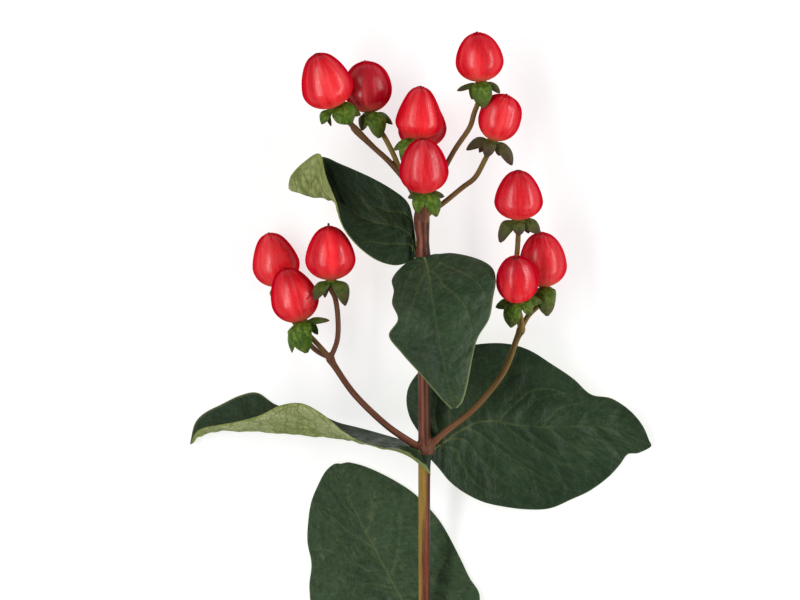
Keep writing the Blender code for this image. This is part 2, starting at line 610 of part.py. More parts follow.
def build_berry(number, fruit):
    skin = material("berry_skin_" + number, BERRY_COLOUR, 0.25)
    profile = berry_profile(fruit)
    berry = turned("berry_" + number, fruit, profile, BERRY_SIDES, skin, BERRY_LOBE_SHARE)
    flatten_feet(berry)


def sepal(name, fruit, tip, width, finish):
    """A thin oval blade that leaves the cup outwards and bends back, turned to face up or down."""
    foot, axis, _, _ = fruit_frame(fruit)
    base = foot - axis * SEPAL_ROOT_DEPTH
    tip = Vector(tip)
    out = tip - base
    out = (out - axis * out.dot(axis)).normalized()
    root = base + out * SEPAL_ROOT_RADIUS
    elbow = root + out * (SEPAL_SPREAD + SEPAL_BEND_SHARE * (tip - root).length)
    facing = out + Vector((0, 0, SEPAL_TURN if out.z > SEPAL_DOWN else -SEPAL_TURN))
    across = facing.cross(tip - root).normalized()
    rings = []
    for t, share in SEPAL_OUTLINE:
        centre = root * (1 - t) ** 2 + elbow * 2 * t * (1 - t) + tip * t * t
        ahead = (elbow - root) * (1 - t) + (tip - elbow) * t
        face = ahead.cross(across).normalized()
        side = across * (width / 2 * share)
        cup = face * (SEPAL_CUP_SHARE * width * share)
        thick = face * (SEPAL_THICKNESS / 2)
        rings.append((centre - side - thick, centre + cup - thick, centre + side - thick,
                      centre + side + thick, centre + cup + thick, centre - side + thick))
    return solid(name, *ringed(rings), finish)


def build_calyx(number, fruit):
    green = material("calyx_green_" + number, CALYX_COLOUR, 0.55)
    profile = [(-TOUCH_GAP / 2 - depth, radius) for depth, radius in CUP_PROFILE]
    cup = turned("calyx_" + number, fruit, profile, CALYX_SIDES, green)
    sepals = [sepal(f"sepal_{number}_{index}", fruit, shape[:3], shape[3], green)
              for index, shape in enumerate(fruit["sepals"])]
    flatten_feet(fused(cup, sepals))


def main():
    clear_scene()
    build_stem()
    build_leaves(stem_clearance())
    for number, fruit in FRUITS.items():
        build_calyx(number, fruit)
        build_berry(number, fruit)


main()
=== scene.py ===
"""The looks of a cut stem of hypericum berries, lying on a pale floor.

Lengths in the tables are millimetres, measured from the middle node of the stem, in the same places
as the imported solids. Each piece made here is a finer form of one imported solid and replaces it.
"""

import math

import bpy
import numpy as np
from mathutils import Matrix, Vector
from mathutils.kdtree import KDTree


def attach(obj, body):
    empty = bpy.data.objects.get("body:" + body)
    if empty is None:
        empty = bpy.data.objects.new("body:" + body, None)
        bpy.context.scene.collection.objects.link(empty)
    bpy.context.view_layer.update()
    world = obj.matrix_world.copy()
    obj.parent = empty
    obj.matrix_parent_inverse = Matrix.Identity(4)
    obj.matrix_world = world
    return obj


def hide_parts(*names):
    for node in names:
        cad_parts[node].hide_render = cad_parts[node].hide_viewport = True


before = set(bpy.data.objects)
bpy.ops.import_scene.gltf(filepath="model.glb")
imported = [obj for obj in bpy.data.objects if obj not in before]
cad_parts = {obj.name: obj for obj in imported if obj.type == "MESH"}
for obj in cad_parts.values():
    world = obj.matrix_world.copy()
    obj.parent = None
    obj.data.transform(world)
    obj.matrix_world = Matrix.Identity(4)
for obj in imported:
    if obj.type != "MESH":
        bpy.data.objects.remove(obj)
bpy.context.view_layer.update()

# The shared frame: millimetres to metres, and the place of the tables' origin
METRES = 0.001
ORIGIN = np.array((-0.8, 7.9, 0.0))

# The photograph's frame at the stem, in millimetres
VIEW_CENTRE = (-6.0, 37.0)
VIEW_WIDTH = 200.0
VIEW_HEIGHT_ABOVE = 1200.0
STEM_LEVEL = 14.0
SENSOR = 36.0

# Soft boxes, in metres and watts: how far to the right of the view's centre and how high each one
# is, its length and width, and its power
SOFT_BOXES = {
    "softbox_left": dict(place=(-0.40, 0.57), size=(1.0, 0.12), power=3.5),
    "softbox_right": dict(place=(0.63, 0.30), size=(1.0, 0.08), power=3.9),
}
SURROUND_STRENGTH = 0.30

# The floor, in metres, just under the stem so that the two never share a plane
FLOOR_HALF = 3.0
FLOOR_LEVEL = -0.0002
FLOOR_GREYS = (0.44, 0.48)
FLOOR_GLOW = 0.65

# Fineness of the pieces
LEAF_CELL = 0.3
BERRY_SIDES = 72
BERRY_RINGS = 52
SEPAL_RINGS = 20
SEPAL_COLUMNS = 12
CUP_SIDES = 32
CUP_RINGS = 12
STEM_VOXEL = 0.2
STEM_SIDES = 28
STEM_STEP = 0.5

# Blades of the leaves: thickness, the soft bend at the midrib, the waves of their quilting, how many
# rows before the tip it fades, and the width of the pale margin
LEAF_THICKNESS = 0.44
LEAF_EDGE_THICKNESS = 0.24
MIDRIB_SOFTNESS = 0.05
WAVE_COUNT = 10
WAVE_LENGTHS = (2.0, 7.0)
WAVE_TURN = 0.7
WAVE_STEEPNESS = 0.012
TIP_FADE_ROWS = 24
RIM_WIDTH = 0.4

# Side veins: for each layer how strong a vein is where it starts, how much of that it loses on its
# way, and its width. The layers are pale colour, dark lines on the pale face, and relief.
SIDE_VEINS = {
    "main": dict(vein=(0.34, 0.22, 0.2), rule=(0.8, 0.0, 0.4), groove=(0.26, 0.1, 0.8),
                 ridge=(0.08, 0.0, 0.35)),
    "fine": dict(vein=(0.07, 0.04, 0.24), rule=(1.0, 0.5, 0.36), groove=(0.16, 0.08, 0.8),
                 ridge=(0.05, 0.0, 0.35)),
}

# Fine side veins: where they start as shares of the leaf's length, how much the two sides differ in
# that, and how they lean towards the tip
FINE_VEIN_STARTS = np.linspace(0.02, 0.8, 11)
FINE_VEIN_STAGGER = 0.012
FINE_VEIN_LEAN = 0.16

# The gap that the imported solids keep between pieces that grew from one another
TOUCH_GAP = 0.3

# Berries: lobes, ribs as their number and depth, creases between the lobes, a slight unevenness, the
# foot and the neck in the cup, and the radius where the top starts. The top round the dried style is
# height over the tip, share of the style's length, radius and how dark it is.
BERRY_LOBE_SHARE = 0.014
BERRY_RIBS = ((9, 0.004), (14, 0.002))
BERRY_CREASE = 0.016
BERRY_DENT = 0.008
BERRY_FOOT_RADIUS = 1.7
BERRY_NECK_RADIUS = 1.4
BERRY_TIP_ANGLE = 82.0
TAPER_END = 4
BERRY_TOP_RADIUS = 1.0
BERRY_TOP = ((0.02, 0.0, 0.86, 0.15), (-0.05, 0.0, 0.66, 0.3), (-0.14, 0.0, 0.5, 0.7),
             (-0.06, 0.0, 0.36, 1.0), (0.0, 0.4, 0.29, 1.0), (0.0, 1.0, 0.24, 1.0), (0.04, 1.0, 0.1, 1.0))

# Calyces: the cup as depth and radius, and a sepal's outline as share of its length and of its width
CALYX_DEPTH = 1.15
CUP_NECK_RADIUS = 0.8
CUP_PROFILE = ((CALYX_DEPTH, 0.95), (0.75, 1.45), (0.3, 1.85), (0.0, 1.75))
SEPAL_OUTLINE = ((0.0, 0.5), (0.3, 0.96), (0.62, 0.98), (0.86, 0.66), (1.0, 0.14))
SEPAL_ROOT_RADIUS = 1.0
SEPAL_ROOT_DEPTH = 0.72
SEPAL_SPREAD = 0.9
SEPAL_BEND_SHARE = 0.22
SEPAL_CUP_SHARE = 0.14
SEPAL_TURN = 1.2
SEPAL_DOWN = -0.3
SEPAL_WAVE = 0.10
SEPAL_KEEL = 0.07
SEPAL_NERVE = 0.03
NARROW_SEPAL = 2.1

# The stem: the ridge along its main axis and its fruit stalks, which widen under the calyx
RIDGE_SHARE = 0.06
STALK_RADIUS = 0.68
STALK_FLARE = 1.25
STALK_END = 1.2

# Levels on the main axis: the pale collar of the middle node, where the leaves clasp below it, where
# the low stretch starts, how its yellow side turns, the two other nodes' scars, and the cut end
COLLAR_LEVEL = -0.5
CLASP_LEVELS = (-5.0, -0.9)
LOW_LEVEL = -1.5
TURNING_LEVELS = (-30.0, -12.0)
SCAR_LEVELS = (47.0, -48.6)
CUT_LEVEL = -87.5

# The main axis from the cut end up: x, y, z and radius, swollen at each pair of leaves
STEM_ROUTE = (
    (0.0, -88.0, 1.55, 1.60), (0.1, -70.0, 3.4, 1.60), (0.0, -51.5, 5.6, 1.62),
    (0.0, -48.0, 6.0, 2.15), (0.1, -44.5, 6.5, 1.62), (0.1, -25.0, 9.4, 1.60),
    (0.1, -4.5, 12.5, 1.66), (0.5, -0.5, 13.0, 2.25), (0.1, 3.8, 13.5, 1.66),
    (-0.1, 25.0, 15.4, 1.62), (-0.2, 43.5, 16.8, 1.66), (-0.3, 47.5, 17.0, 2.10),
    (-0.3, 51.5, 17.3, 1.72), (-0.6, 57.0, 17.8, 2.15), (-0.4, 60.2, 18.2, 1.70),
)

# Side twigs, each from inside the stem to the fork of its fruit stalks: x, y, z and radius
TWIG_ROUTES = {
    "left": (
        (0.4, -0.6, 13.0, 0.95), (-3.5, 1.6, 14.0, 0.90), (-9.75, 6.0, 14.4, 0.85),
        (-17.25, 13.25, 13.6, 0.82), (-22.2, 20.2, 12.6, 0.85), (-23.4, 22.2, 12.4, 1.15),
        (-23.9, 23.2, 12.4, 0.80),
    ),
    "right": (
        (0.4, -0.6, 13.2, 0.95), (5.25, 4.0, 13.8, 0.88), (12.75, 10.1, 14.0, 0.82),
        (19.75, 18.75, 13.8, 0.80), (23.2, 27.2, 13.5, 0.82), (24.2, 29.4, 13.5, 1.15),
        (24.5, 30.6, 13.4, 0.80),
    ),
    "top_left": (
        (-0.5, 57.5, 17.6, 0.95), (-3.2, 64.6, 15.8, 0.80), (-8.0, 70.8, 15.6, 0.75),
        (-12.8, 75.3, 16.2, 0.72), (-16.9, 79.3, 17.0, 0.95), (-18.0, 80.7, 17.3, 0.68),
    ),
}

# Fruits: the berry's foot, its tip, its width, the share of its length where it is widest, how
# strongly it tapers from there, how blunt its top is (2 is a plain ellipse), the length of the dried
# style on its tip, how brown its sepals are, from 0 (green) to 1, how ripe it is, from 0 (light red)
# to 1 (dark crimson), the way of its stalk, and its five sepals. A sepal is the x, y and z of its tip
# and its width.
FRUITS = {
    "01": dict(
        foot=(-22.6, 85.0, 18.6), tip=(-26.7, 98.15, 21.8), width=13.2,
        belly=0.36, taper=0.16, blunt=2.0, style=0.2, brown=0.1, ripe=0.15,
        stalk=((-16.9, 79.3, 17.0), (-18.4, 81.0, 17.4)),
        sepals=((-17.9, 81.0, 20.8, 6.2), (-25.5, 80.8, 18.6, 2.8), (-23.2, 80.4, 16.2, 1.4),
                (-15.9, 83.2, 16.8, 3.6), (-20.4, 80.9, 14.4, 2.6)),
    ),
    "02": dict(
        foot=(-13.6, 84.0, 12.6), tip=(-14.8, 96.8, 11.9), width=12.0,
        belly=0.44, taper=0.04, blunt=2.4, style=0.2, brown=0.2, ripe=0.95,
        stalk=((-5.2, 67.2, 15.7), (-7.25, 72.5, 14.8), (-9.75, 77.5, 13.8), (-12.2, 81.0, 12.9)),
        sepals=((-11.2, 77.4, 15.9, 5.2), (-7.9, 81.0, 12.2, 2.2), (-15.5, 79.4, 13.4, 1.8),
                (-15.4, 79.6, 9.4, 2.6), (-10.9, 80.0, 9.4, 2.6)),
    ),
    "03": dict(
        foot=(-1.5, 77.3, 17.6), tip=(-0.9, 90.1, 19.6), width=11.9,
        belly=0.32, taper=0.25, blunt=2.0, style=0.2, brown=0.1, ripe=0.1,
        stalk=((-0.5, 58.5, 17.0), (-0.8, 66.0, 15.7), (-0.8, 72.0, 15.9)),
        sepals=((-7.7, 74.3, 17.0, 2.2), (-5.7, 71.8, 17.6, 3.6), (-0.9, 74.0, 18.2, 2.2),
                (3.2, 73.4, 16.8, 2.6), (-1.2, 74.2, 12.6, 2.6)),
    ),
    "04": dict(
        foot=(0.0, 75.1, 6.1), tip=(-1.2, 88.2, 5.7), width=12.2,
        belly=0.37, taper=0.1, blunt=2.0, style=0.2, brown=0.2, ripe=0.5,
        stalk=((-0.3, 58.0, 16.4), (0.7, 63.5, 11.6), (1.0, 69.5, 7.4)),
        sepals=((4.4, 71.3, 7.6, 2.6), (-0.2, 70.6, 9.9, 2.8), (-4.2, 70.9, 7.2, 2.4),
                (-1.9, 70.6, 2.9, 2.6), (2.8, 70.8, 3.0, 2.4)),
    ),
    "05": dict(
        foot=(0.0, 63.9, 21.2), tip=(-0.4, 76.9, 25.9), width=12.3,
        belly=0.37, taper=0.1, blunt=2.0, style=0.15, brown=0.12, ripe=0.45,
        stalk=((-0.4, 58.0, 18.3), (-0.1, 60.5, 19.6)),
        sepals=((-1.8, 58.5, 22.4, 3.2), (3.1, 57.7, 22.4, 4.0), (-4.0, 62.4, 20.8, 1.6),
                (5.0, 62.7, 20.2, 1.8), (0.1, 62.9, 17.2, 2.0)),
    ),
    "06": dict(
        foot=(14.2, 91.5, 16.8), tip=(13.15, 103.7, 17.6), width=12.0,
        belly=0.4, taper=0.06, blunt=2.0, style=0.2, brown=0.2, ripe=0.15,
        stalk=((-0.3, 58.8, 17.6), (3.4, 66.5, 15.9), (7.5, 74.2, 16.2), (11.3, 79.9, 16.4),
               (12.5, 83.6, 16.5)),
        sepals=((14.7, 84.8, 19.4, 5.2), (8.2, 89.2, 16.6, 1.5), (18.9, 88.6, 17.6, 2.0),
                (12.0, 87.2, 13.0, 2.6), (16.0, 88.1, 13.4, 2.4)),
    ),
    "07": dict(
        foot=(17.2, 77.0, 14.4), tip=(20.6, 88.3, 15.2), width=10.6,
        belly=0.46, taper=0.0, blunt=2.9, style=0.2, brown=0.75, ripe=0.25,
        stalk=((-0.2, 57.6, 18.0), (4.6, 61.0, 17.8), (9.5, 65.0, 17.0), (12.75, 67.6, 16.2),
               (15.2, 72.0, 15.0)),
        sepals=((10.6, 74.5, 14.8, 2.9), (22.0, 70.7, 14.8, 3.3), (15.4, 72.5, 17.4, 3.2),
                (13.9, 74.0, 10.4, 2.4), (19.0, 73.2, 10.4, 2.4)),
    ),
    "08": dict(
        foot=(23.5, 57.1, 17.6), tip=(23.4, 69.2, 20.2), width=12.2,
        belly=0.36, taper=0.16, blunt=2.0, style=0.2, brown=0.6, ripe=0.4,
        stalk=((24.2, 29.6, 13.4), (23.5, 33.5, 12.9), (23.0, 38.5, 13.2), (23.0, 45.0, 13.9),
               (23.4, 51.0, 15.6)),
        sepals=((18.9, 51.4, 17.4, 3.7), (28.9, 53.8, 17.0, 3.4), (23.6, 53.0, 19.2, 3.2),
                (20.7, 53.6, 13.4, 2.4), (26.2, 53.7, 13.4, 2.4)),
    ),
    "09": dict(
        foot=(30.2, 40.3, 11.9), tip=(29.1, 54.0, 12.4), width=11.9,
        belly=0.37, taper=0.04, blunt=2.2, style=0.2, brown=0.35, ripe=0.45,
        stalk=((24.2, 29.6, 13.4), (26.2, 33.2, 12.6), (29.4, 36.2, 12.0)),
        sepals=((30.8, 33.0, 14.8, 5.2), (32.3, 36.5, 10.6, 2.2), (26.4, 37.8, 11.2, 2.2),
                (28.6, 36.0, 8.2, 2.6), (32.0, 36.2, 7.8, 2.6)),
    ),
    "10": dict(
        foot=(23.4, 37.1, 18.1), tip=(22.7, 47.5, 24.4), width=10.6,
        belly=0.42, taper=0.04, blunt=2.2, style=0.15, brown=0.28, ripe=0.35,
        stalk=((24.2, 29.6, 13.6), (24.3, 32.0, 14.9)),
        sepals=((21.6, 30.2, 17.8, 4.6), (17.9, 35.2, 16.8, 2.6), (29.4, 36.6, 16.7, 2.6),
                (26.6, 33.2, 17.6, 3.0), (22.6, 35.6, 14.8, 2.0)),
    ),
    "11": dict(
        foot=(-36.1, 40.5, 6.1), tip=(-39.1, 53.8, 5.5), width=12.1,
        belly=0.4, taper=0.2, blunt=2.0, style=0.2, brown=0.3, ripe=0.2,
        stalk=((-23.4, 22.4, 12.2), (-28.0, 25.2, 9.2), (-33.2, 32.5, 6.6)),
        sepals=((-37.9, 36.9, 5.6, 2.4), (-35.0, 36.4, 8.4, 2.2), (-31.9, 37.6, 5.8, 2.2),
                (-36.2, 36.4, 2.8, 2.4), (-33.2, 37.0, 2.8, 2.4)),
    ),
    "12": dict(
        foot=(-30.5, 31.7, 14.2), tip=(-35.1, 44.9, 14.4), width=12.0,
        belly=0.4, taper=0.12, blunt=2.0, style=0.2, brown=0.05, ripe=0.2,
        stalk=((-23.6, 22.6, 12.6), (-27.0, 26.4, 13.6)),
        sepals=((-29.3, 23.8, 16.6, 6.2), (-33.0, 23.9, 14.6, 2.6), (-23.6, 31.9, 14.4, 1.7),
                (-31.9, 27.4, 10.8, 2.4), (-26.6, 28.4, 10.6, 2.4)),
    ),
    "13": dict(
        foot=(-23.2, 42.0, 17.0), tip=(-23.8, 55.45, 17.6), width=12.6,
        belly=0.38, taper=0.12, blunt=2.0, style=0.7, brown=0.5, ripe=0.0,
        stalk=((-23.4, 22.4, 12.6), (-21.7, 27.0, 13.4), (-21.5, 32.3, 14.8), (-22.1, 37.2, 16.2)),
        sepals=((-27.4, 36.9, 20.0, 3.2), (-19.6, 35.6, 18.6, 4.0), (-24.8, 37.6, 14.2, 2.0),
                (-22.4, 37.8, 12.6, 2.4), (-20.4, 38.2, 13.6, 2.4)),
    ),
}

# Leaves: at each station along the leaf the x, y and z of the midrib and of the two margins, from the
# base to the tip. Those called left and right grow to the sides, front and back in the other plane.
LEAVES = {
    "leaf_upper_left": dict(arch=-0.5, stations=(
        (-2.0, 48.5, 17.0, -1.9, 50.4, 16.6, -2.5, 47.0, 17.0),
        (-2.8, 52.3, 16.8, -2.9, 58.0, 14.6, -5.0, 46.0, 18.4),
        (-4.8, 54.5, 16.6, -4.3, 61.7, 13.8, -7.8, 45.7, 19.2),
        (-7.8, 55.7, 16.4, -8.0, 64.7, 13.2, -11.5, 46.8, 20.0),
        (-11.5, 56.3, 16.0, -12.7, 67.4, 12.9, -15.0, 49.1, 20.6),
        (-15.5, 57.8, 15.5, -17.2, 69.5, 12.8, -18.2, 52.3, 21.2),
        (-19.0, 60.0, 15.0, -21.2, 71.2, 13.0, -20.5, 56.0, 21.8),
        (-21.5, 61.8, 14.4, -24.2, 72.6, 13.0, -21.9, 61.2, 22.2),
        (-23.8, 62.6, 13.9, -26.6, 72.8, 12.6, -24.5, 67.8, 21.6),
        (-26.2, 63.1, 13.4, -28.4, 71.6, 12.2, -26.1, 73.4, 18.6),
        (-29.5, 63.8, 12.9, -31.0, 69.8, 12.0, -30.2, 71.2, 17.0),
        (-32.2, 64.4, 12.5, -33.0, 67.4, 12.0, -33.1, 68.3, 14.6),
        (-33.8, 65.2, 12.4, -33.9, 65.8, 12.2, -33.9, 66.0, 13.0),
    )),
    "leaf_upper_front": dict(arch=0.7, stations=(
        (0.0, 47.8, 19.2, -1.2, 47.8, 18.7, 1.4, 48.0, 18.7),
        (0.7, 45.5, 21.6, -5.2, 45.5, 19.4, 7.0, 48.6, 19.4),
        (1.2, 42.8, 25.0, -7.9, 42.2, 21.4, 13.2, 47.2, 20.6),
        (1.7, 39.3, 28.4, -7.5, 39.2, 24.0, 16.8, 45.0, 22.4),
        (2.2, 35.5, 31.0, -7.9, 36.0, 25.8, 17.7, 41.8, 24.4),
        (2.9, 31.5, 32.6, -6.5, 32.2, 29.0, 17.0, 37.5, 26.4),
        (3.5, 27.0, 33.6, -8.7, 28.2, 26.6, 16.0, 32.4, 28.2),
        (4.5, 22.5, 34.0, -5.5, 23.8, 29.4, 13.2, 27.8, 29.8),
        (5.4, 18.5, 34.0, -1.0, 18.8, 31.4, 11.8, 22.8, 31.2),
        (6.2, 14.8, 33.6, 2.7, 14.4, 32.4, 10.6, 16.3, 32.2),
        (7.0, 12.0, 33.0, 5.3, 11.5, 32.6, 9.4, 12.1, 32.5),
        (7.3, 10.4, 32.7, 6.7, 10.2, 32.6, 8.0, 10.4, 32.6),
    )),
    "leaf_middle_left": dict(arch=-0.4, stations=(
        (-1.2, -0.5, 15.2, -1.8, 0.6, 12.2, 1.6, -6.6, 15.8),
        (-4.2, 0.5, 14.4, -4.2, 1.5, 10.0, -2.4, -2.8, 18.4),
        (-7.8, 1.4, 13.2, -7.6, 2.4, 7.6, -6.5, -0.7, 20.0),
        (-11.5, 1.9, 12.1, -12.0, 3.6, 5.4, -11.0, 0.3, 21.0),
        (-15.5, 2.2, 11.0, -16.6, 4.8, 3.8, -16.0, 1.8, 21.4),
        (-19.5, 2.6, 10.0, -21.5, 6.0, 2.4, -20.3, 4.4, 21.2),
        (-24.0, 3.0, 9.0, -26.5, 8.0, 1.4, -24.7, 8.1, 19.8),
        (-29.0, 3.5, 8.0, -31.6, 8.8, 0.8, -30.2, 11.1, 18.0),
        (-34.2, 3.9, 7.0, -37.6, 10.6, 0.4, -35.6, 10.7, 16.6),
        (-39.8, 4.3, 6.0, -42.1, 13.5, 0.3, -41.0, 8.1, 14.6),
        (-45.2, 4.5, 5.0, -46.5, 12.8, 0.3, -46.2, 6.6, 12.0),
        (-50.5, 4.6, 4.0, -51.3, 10.5, 0.3, -51.2, 5.6, 9.0),
        (-54.8, 3.9, 3.0, -55.4, 8.4, 0.5, -55.2, 4.8, 6.0),
        (-57.4, 2.5, 2.2, -57.8, 5.8, 0.8, -57.4, 3.6, 3.6),
        (-58.9, 0.6, 1.5, -58.9, 1.3, 1.3, -58.8, 0.9, 1.8),
    )),
    "leaf_middle_right": dict(arch=0.5, stations=(
        (1.8, -0.8, 11.2, -1.2, 3.8, 9.3, 1.6, -2.8, 10.8),
        (3.5, 0.3, 10.6, -3.5, 7.5, 9.0, 3.8, -5.3, 9.5),
        (5.5, 1.6, 10.0, -4.4, 11.8, 9.0, 6.5, -8.6, 8.0),
        (8.0, 3.4, 9.6, -3.5, 15.9, 9.2, 10.2, -11.5, 6.4),
        (10.8, 5.1, 9.2, 0.0, 20.2, 9.6, 15.0, -13.9, 4.8),
        (14.0, 6.4, 8.8, 5.8, 23.9, 9.8, 20.5, -15.2, 3.2),
        (17.8, 6.5, 8.5, 12.8, 25.8, 9.6, 26.5, -15.9, 2.0),
        (21.8, 5.8, 8.1, 20.3, 26.1, 9.0, 32.0, -15.6, 1.1),
        (26.0, 5.3, 7.6, 26.3, 24.5, 8.2, 37.3, -13.4, 0.6),
        (30.5, 5.0, 7.1, 32.0, 21.0, 7.6, 42.0, -11.2, 0.3),
        (35.0, 5.1, 6.6, 37.5, 17.3, 7.1, 46.5, -7.9, 0.3),
        (39.5, 5.2, 6.0, 42.0, 13.3, 6.6, 49.5, -4.7, 0.3),
        (44.0, 5.0, 5.2, 47.3, 12.2, 5.8, 51.5, -2.0, 0.5),
        (48.5, 4.0, 4.0, 52.0, 9.1, 4.5, 54.0, -1.7, 0.8),
        (53.0, 2.3, 2.6, 55.3, 5.2, 3.0, 56.0, -0.9, 1.0),
        (57.5, 0.2, 1.3, 57.2, 0.9, 1.4, 57.1, -0.3, 1.2),
    )),
    "leaf_lower_back": dict(arch=0.0, stations=(
        (-0.4, -47.6, 5.0, -2.6, -49.8, 4.2, 2.6, -49.2, 4.2),
        (-2.5, -44.0, 3.3, -11.5, -51.0, 2.4, 9.0, -48.2, 2.6),
        (-4.5, -40.5, 2.4, -21.0, -48.0, 1.2, 13.2, -43.0, 1.8),
        (-6.5, -37.0, 1.7, -27.5, -42.5, 0.6, 14.1, -37.5, 1.4),
        (-8.5, -33.2, 1.2, -28.9, -36.0, 0.35, 11.5, -33.0, 1.2),
        (-10.8, -29.0, 0.8, -28.4, -29.8, 0.33, 9.2, -28.2, 1.0),
        (-13.0, -24.8, 0.45, -29.4, -24.2, 0.33, 6.0, -22.0, 0.8),
        (-15.2, -20.5, 0.33, -29.2, -18.8, 0.33, 3.0, -17.5, 0.6),
        (-17.2, -16.5, 0.33, -28.4, -13.9, 0.33, -2.2, -12.1, 0.45),
        (-19.0, -12.5, 0.33, -26.5, -9.3, 0.33, -7.8, -8.4, 0.36),
        (-20.4, -8.8, 0.33, -24.8, -6.3, 0.33, -14.0, -5.4, 0.34),
        (-21.1, -6.0, 0.33, -22.9, -4.6, 0.33, -18.5, -4.1, 0.33),
        (-21.0, -4.4, 0.33, -21.7, -4.3, 0.33, -20.2, -4.2, 0.33),
    )),
    "leaf_lower_front": dict(arch=0.6, stations=(
        (1.2, -48.6, 8.2, 0.9, -46.4, 8.5, 0.0, -50.8, 8.5),
        (4.0, -50.6, 10.5, 8.0, -43.6, 10.0, -2.5, -57.0, 11.0),
        (8.0, -54.0, 13.3, 15.5, -44.0, 11.6, -1.5, -63.2, 13.0),
        (13.0, -58.2, 15.4, 21.5, -47.0, 13.2, 4.0, -69.0, 14.6),
        (18.0, -62.3, 16.4, 26.4, -51.6, 14.6, 9.8, -72.7, 15.5),
        (23.0, -66.2, 16.4, 29.8, -57.4, 15.0, 16.0, -74.8, 15.8),
        (27.5, -69.8, 15.6, 32.2, -63.6, 14.8, 22.5, -75.8, 15.2),
        (31.0, -72.4, 14.6, 33.4, -69.4, 14.2, 28.2, -75.4, 14.3),
        (33.6, -74.3, 13.6, 34.0, -73.7, 13.6, 33.0, -74.9, 13.6),
    )),
}

# Which face of each blade is the upper one, how much lighter than the rest its green is, how pale
# its margin is by the tip, how pale its midrib starts and ends and the share of its length over
# which that fades, and its main side veins as x and y seen from above
VEINS = {
    "leaf_upper_left": dict(upper=1, tone=-0.12, rim=0.4, midrib=(0.28, 0.08, 0.5), routes=(
        ((-3.3, 57.5), (-4.8, 58.5), (-6.5, 59.0), (-9.0, 59.2), (-11.0, 60.0), (-13.0, 60.5), (-18.0, 61.6)),
        ((-2.9, 50.6), (-4.0, 51.0), (-6.0, 50.9), (-9.8, 51.2), (-12.3, 51.3), (-15.0, 51.6)),
        ((-8.5, 55.8), (-12.0, 58.4), (-16.0, 62.5), (-19.5, 66.5)),
    )),
    "leaf_upper_front": dict(upper=1, tone=0.17, rim=0.9, midrib=(0.95, 0.1, 0.13), routes=(
        ((1.2, 44.6), (3.3, 42.8), (4.8, 40.8), (6.5, 39.5), (8.0, 38.0), (9.3, 36.3), (10.5, 34.3),
         (11.4, 31.5), (11.2, 27.0), (9.6, 22.0)),
        ((1.0, 44.4), (-0.3, 42.8), (-1.3, 40.8), (-2.0, 38.3), (-2.8, 36.3), (-3.6, 33.5), (-3.8, 29.0)),
        ((3.5, 46.2), (7.3, 45.0), (10.0, 43.5), (13.0, 41.4), (14.5, 39.0), (14.6, 34.5)),
        ((0.0, 46.6), (-2.3, 45.0), (-4.0, 42.5), (-5.2, 39.0), (-6.0, 35.5)),
    )),
    "leaf_middle_left": dict(upper=1, tone=0.0, rim=0.5, midrib=(0.3, 0.2, 0.5), routes=()),
    "leaf_middle_right": dict(upper=-1, tone=0.0, rim=0.2, midrib=(0.9, 0.1, 0.28), routes=(
        ((5.5, 1.6), (8.3, 2.2), (10.8, 1.4), (14.0, -3.0), (20.0, -8.6), (26.0, -12.5)),
        ((10.5, 4.9), (13.5, 3.6), (19.0, -0.6), (26.5, -5.6), (31.5, -8.6)),
        ((19.8, 6.0), (26.5, 0.8), (34.0, -3.6), (38.5, -5.5)),
        ((4.4, 0.5), (8.2, -0.8), (9.2, -3.5), (13.0, -9.0), (18.5, -13.0)),
        ((19.0, 6.4), (20.6, 8.4), (24.0, 11.8), (26.8, 13.8), (31.0, 14.6), (36.0, 13.4)),
        ((6.6, 4.5), (6.6, 9.5), (8.2, 15.0), (11.0, 20.5)),
        ((3.2, 4.0), (2.6, 8.5), (3.4, 14.0)),
        ((31.0, 5.2), (37.0, 0.4), (43.0, -2.0)),
        ((30.0, 5.2), (34.0, 9.6), (40.0, 11.4)),
    )),
    "leaf_lower_back": dict(upper=-1, tone=0.36, rim=0.2, midrib=(0.45, 0.05, 0.7), routes=(
        ((-8.3, -32.3), (-7.2, -29.3), (-6.2, -23.5), (-6.0, -17.5), (-8.0, -12.0)),
        ((-8.4, -35.6), (-12.3, -34.6), (-19.5, -34.2), (-25.0, -31.0)),
        ((-14.0, -31.5), (-17.3, -29.3), (-20.0, -25.2), (-23.5, -22.0)),
        ((-12.0, -26.0), (-16.0, -23.4), (-20.5, -20.2), (-24.5, -15.0)),
        ((-14.5, -22.0), (-12.8, -17.0), (-13.6, -12.0)),
        ((-5.0, -39.5), (1.5, -34.5), (5.5, -28.0), (5.0, -22.0)),
    )),
    "leaf_lower_front": dict(upper=-1, tone=0.2, rim=0.2, midrib=(0.6, 0.15, 0.4), routes=()),
}

# The leaf whose margin curls up by its base, so that a band of its pale underside shows there
CURLED_LEAF = "leaf_middle_left"

# How olive each twig and stalk is where it starts and ends, from 0 (reddish brown) to 1 (olive)
OLIVE = {
    "stem": (0.0, 0.0), "left": (0.0, 0.1), "right": (0.0, 1.0), "top_left": (0.1, 0.35),
    "01": (0.2, 0.5), "02": (0.8, 1.0), "03": (0.5, 0.8), "04": (0.5, 0.8), "05": (0.0, 0.15),
    "06": (0.2, 0.75), "07": (0.3, 0.85), "08": (0.4, 0.6), "09": (0.7, 0.8), "10": (0.7, 0.9),
    "11": (0.2, 0.5), "12": (0.2, 0.95), "13": (0.0, 0.2),
}


def rgb(red, green, blue):
    """A colour given as 0 to 255 on screen, as the four linear numbers that a shader takes."""
    parts = [part / 255 for part in (red, green, blue)]
    return [part / 12.92 if part < 0.04045 else ((part + 0.055) / 1.055) ** 2.4 for part in parts] + [1.0]


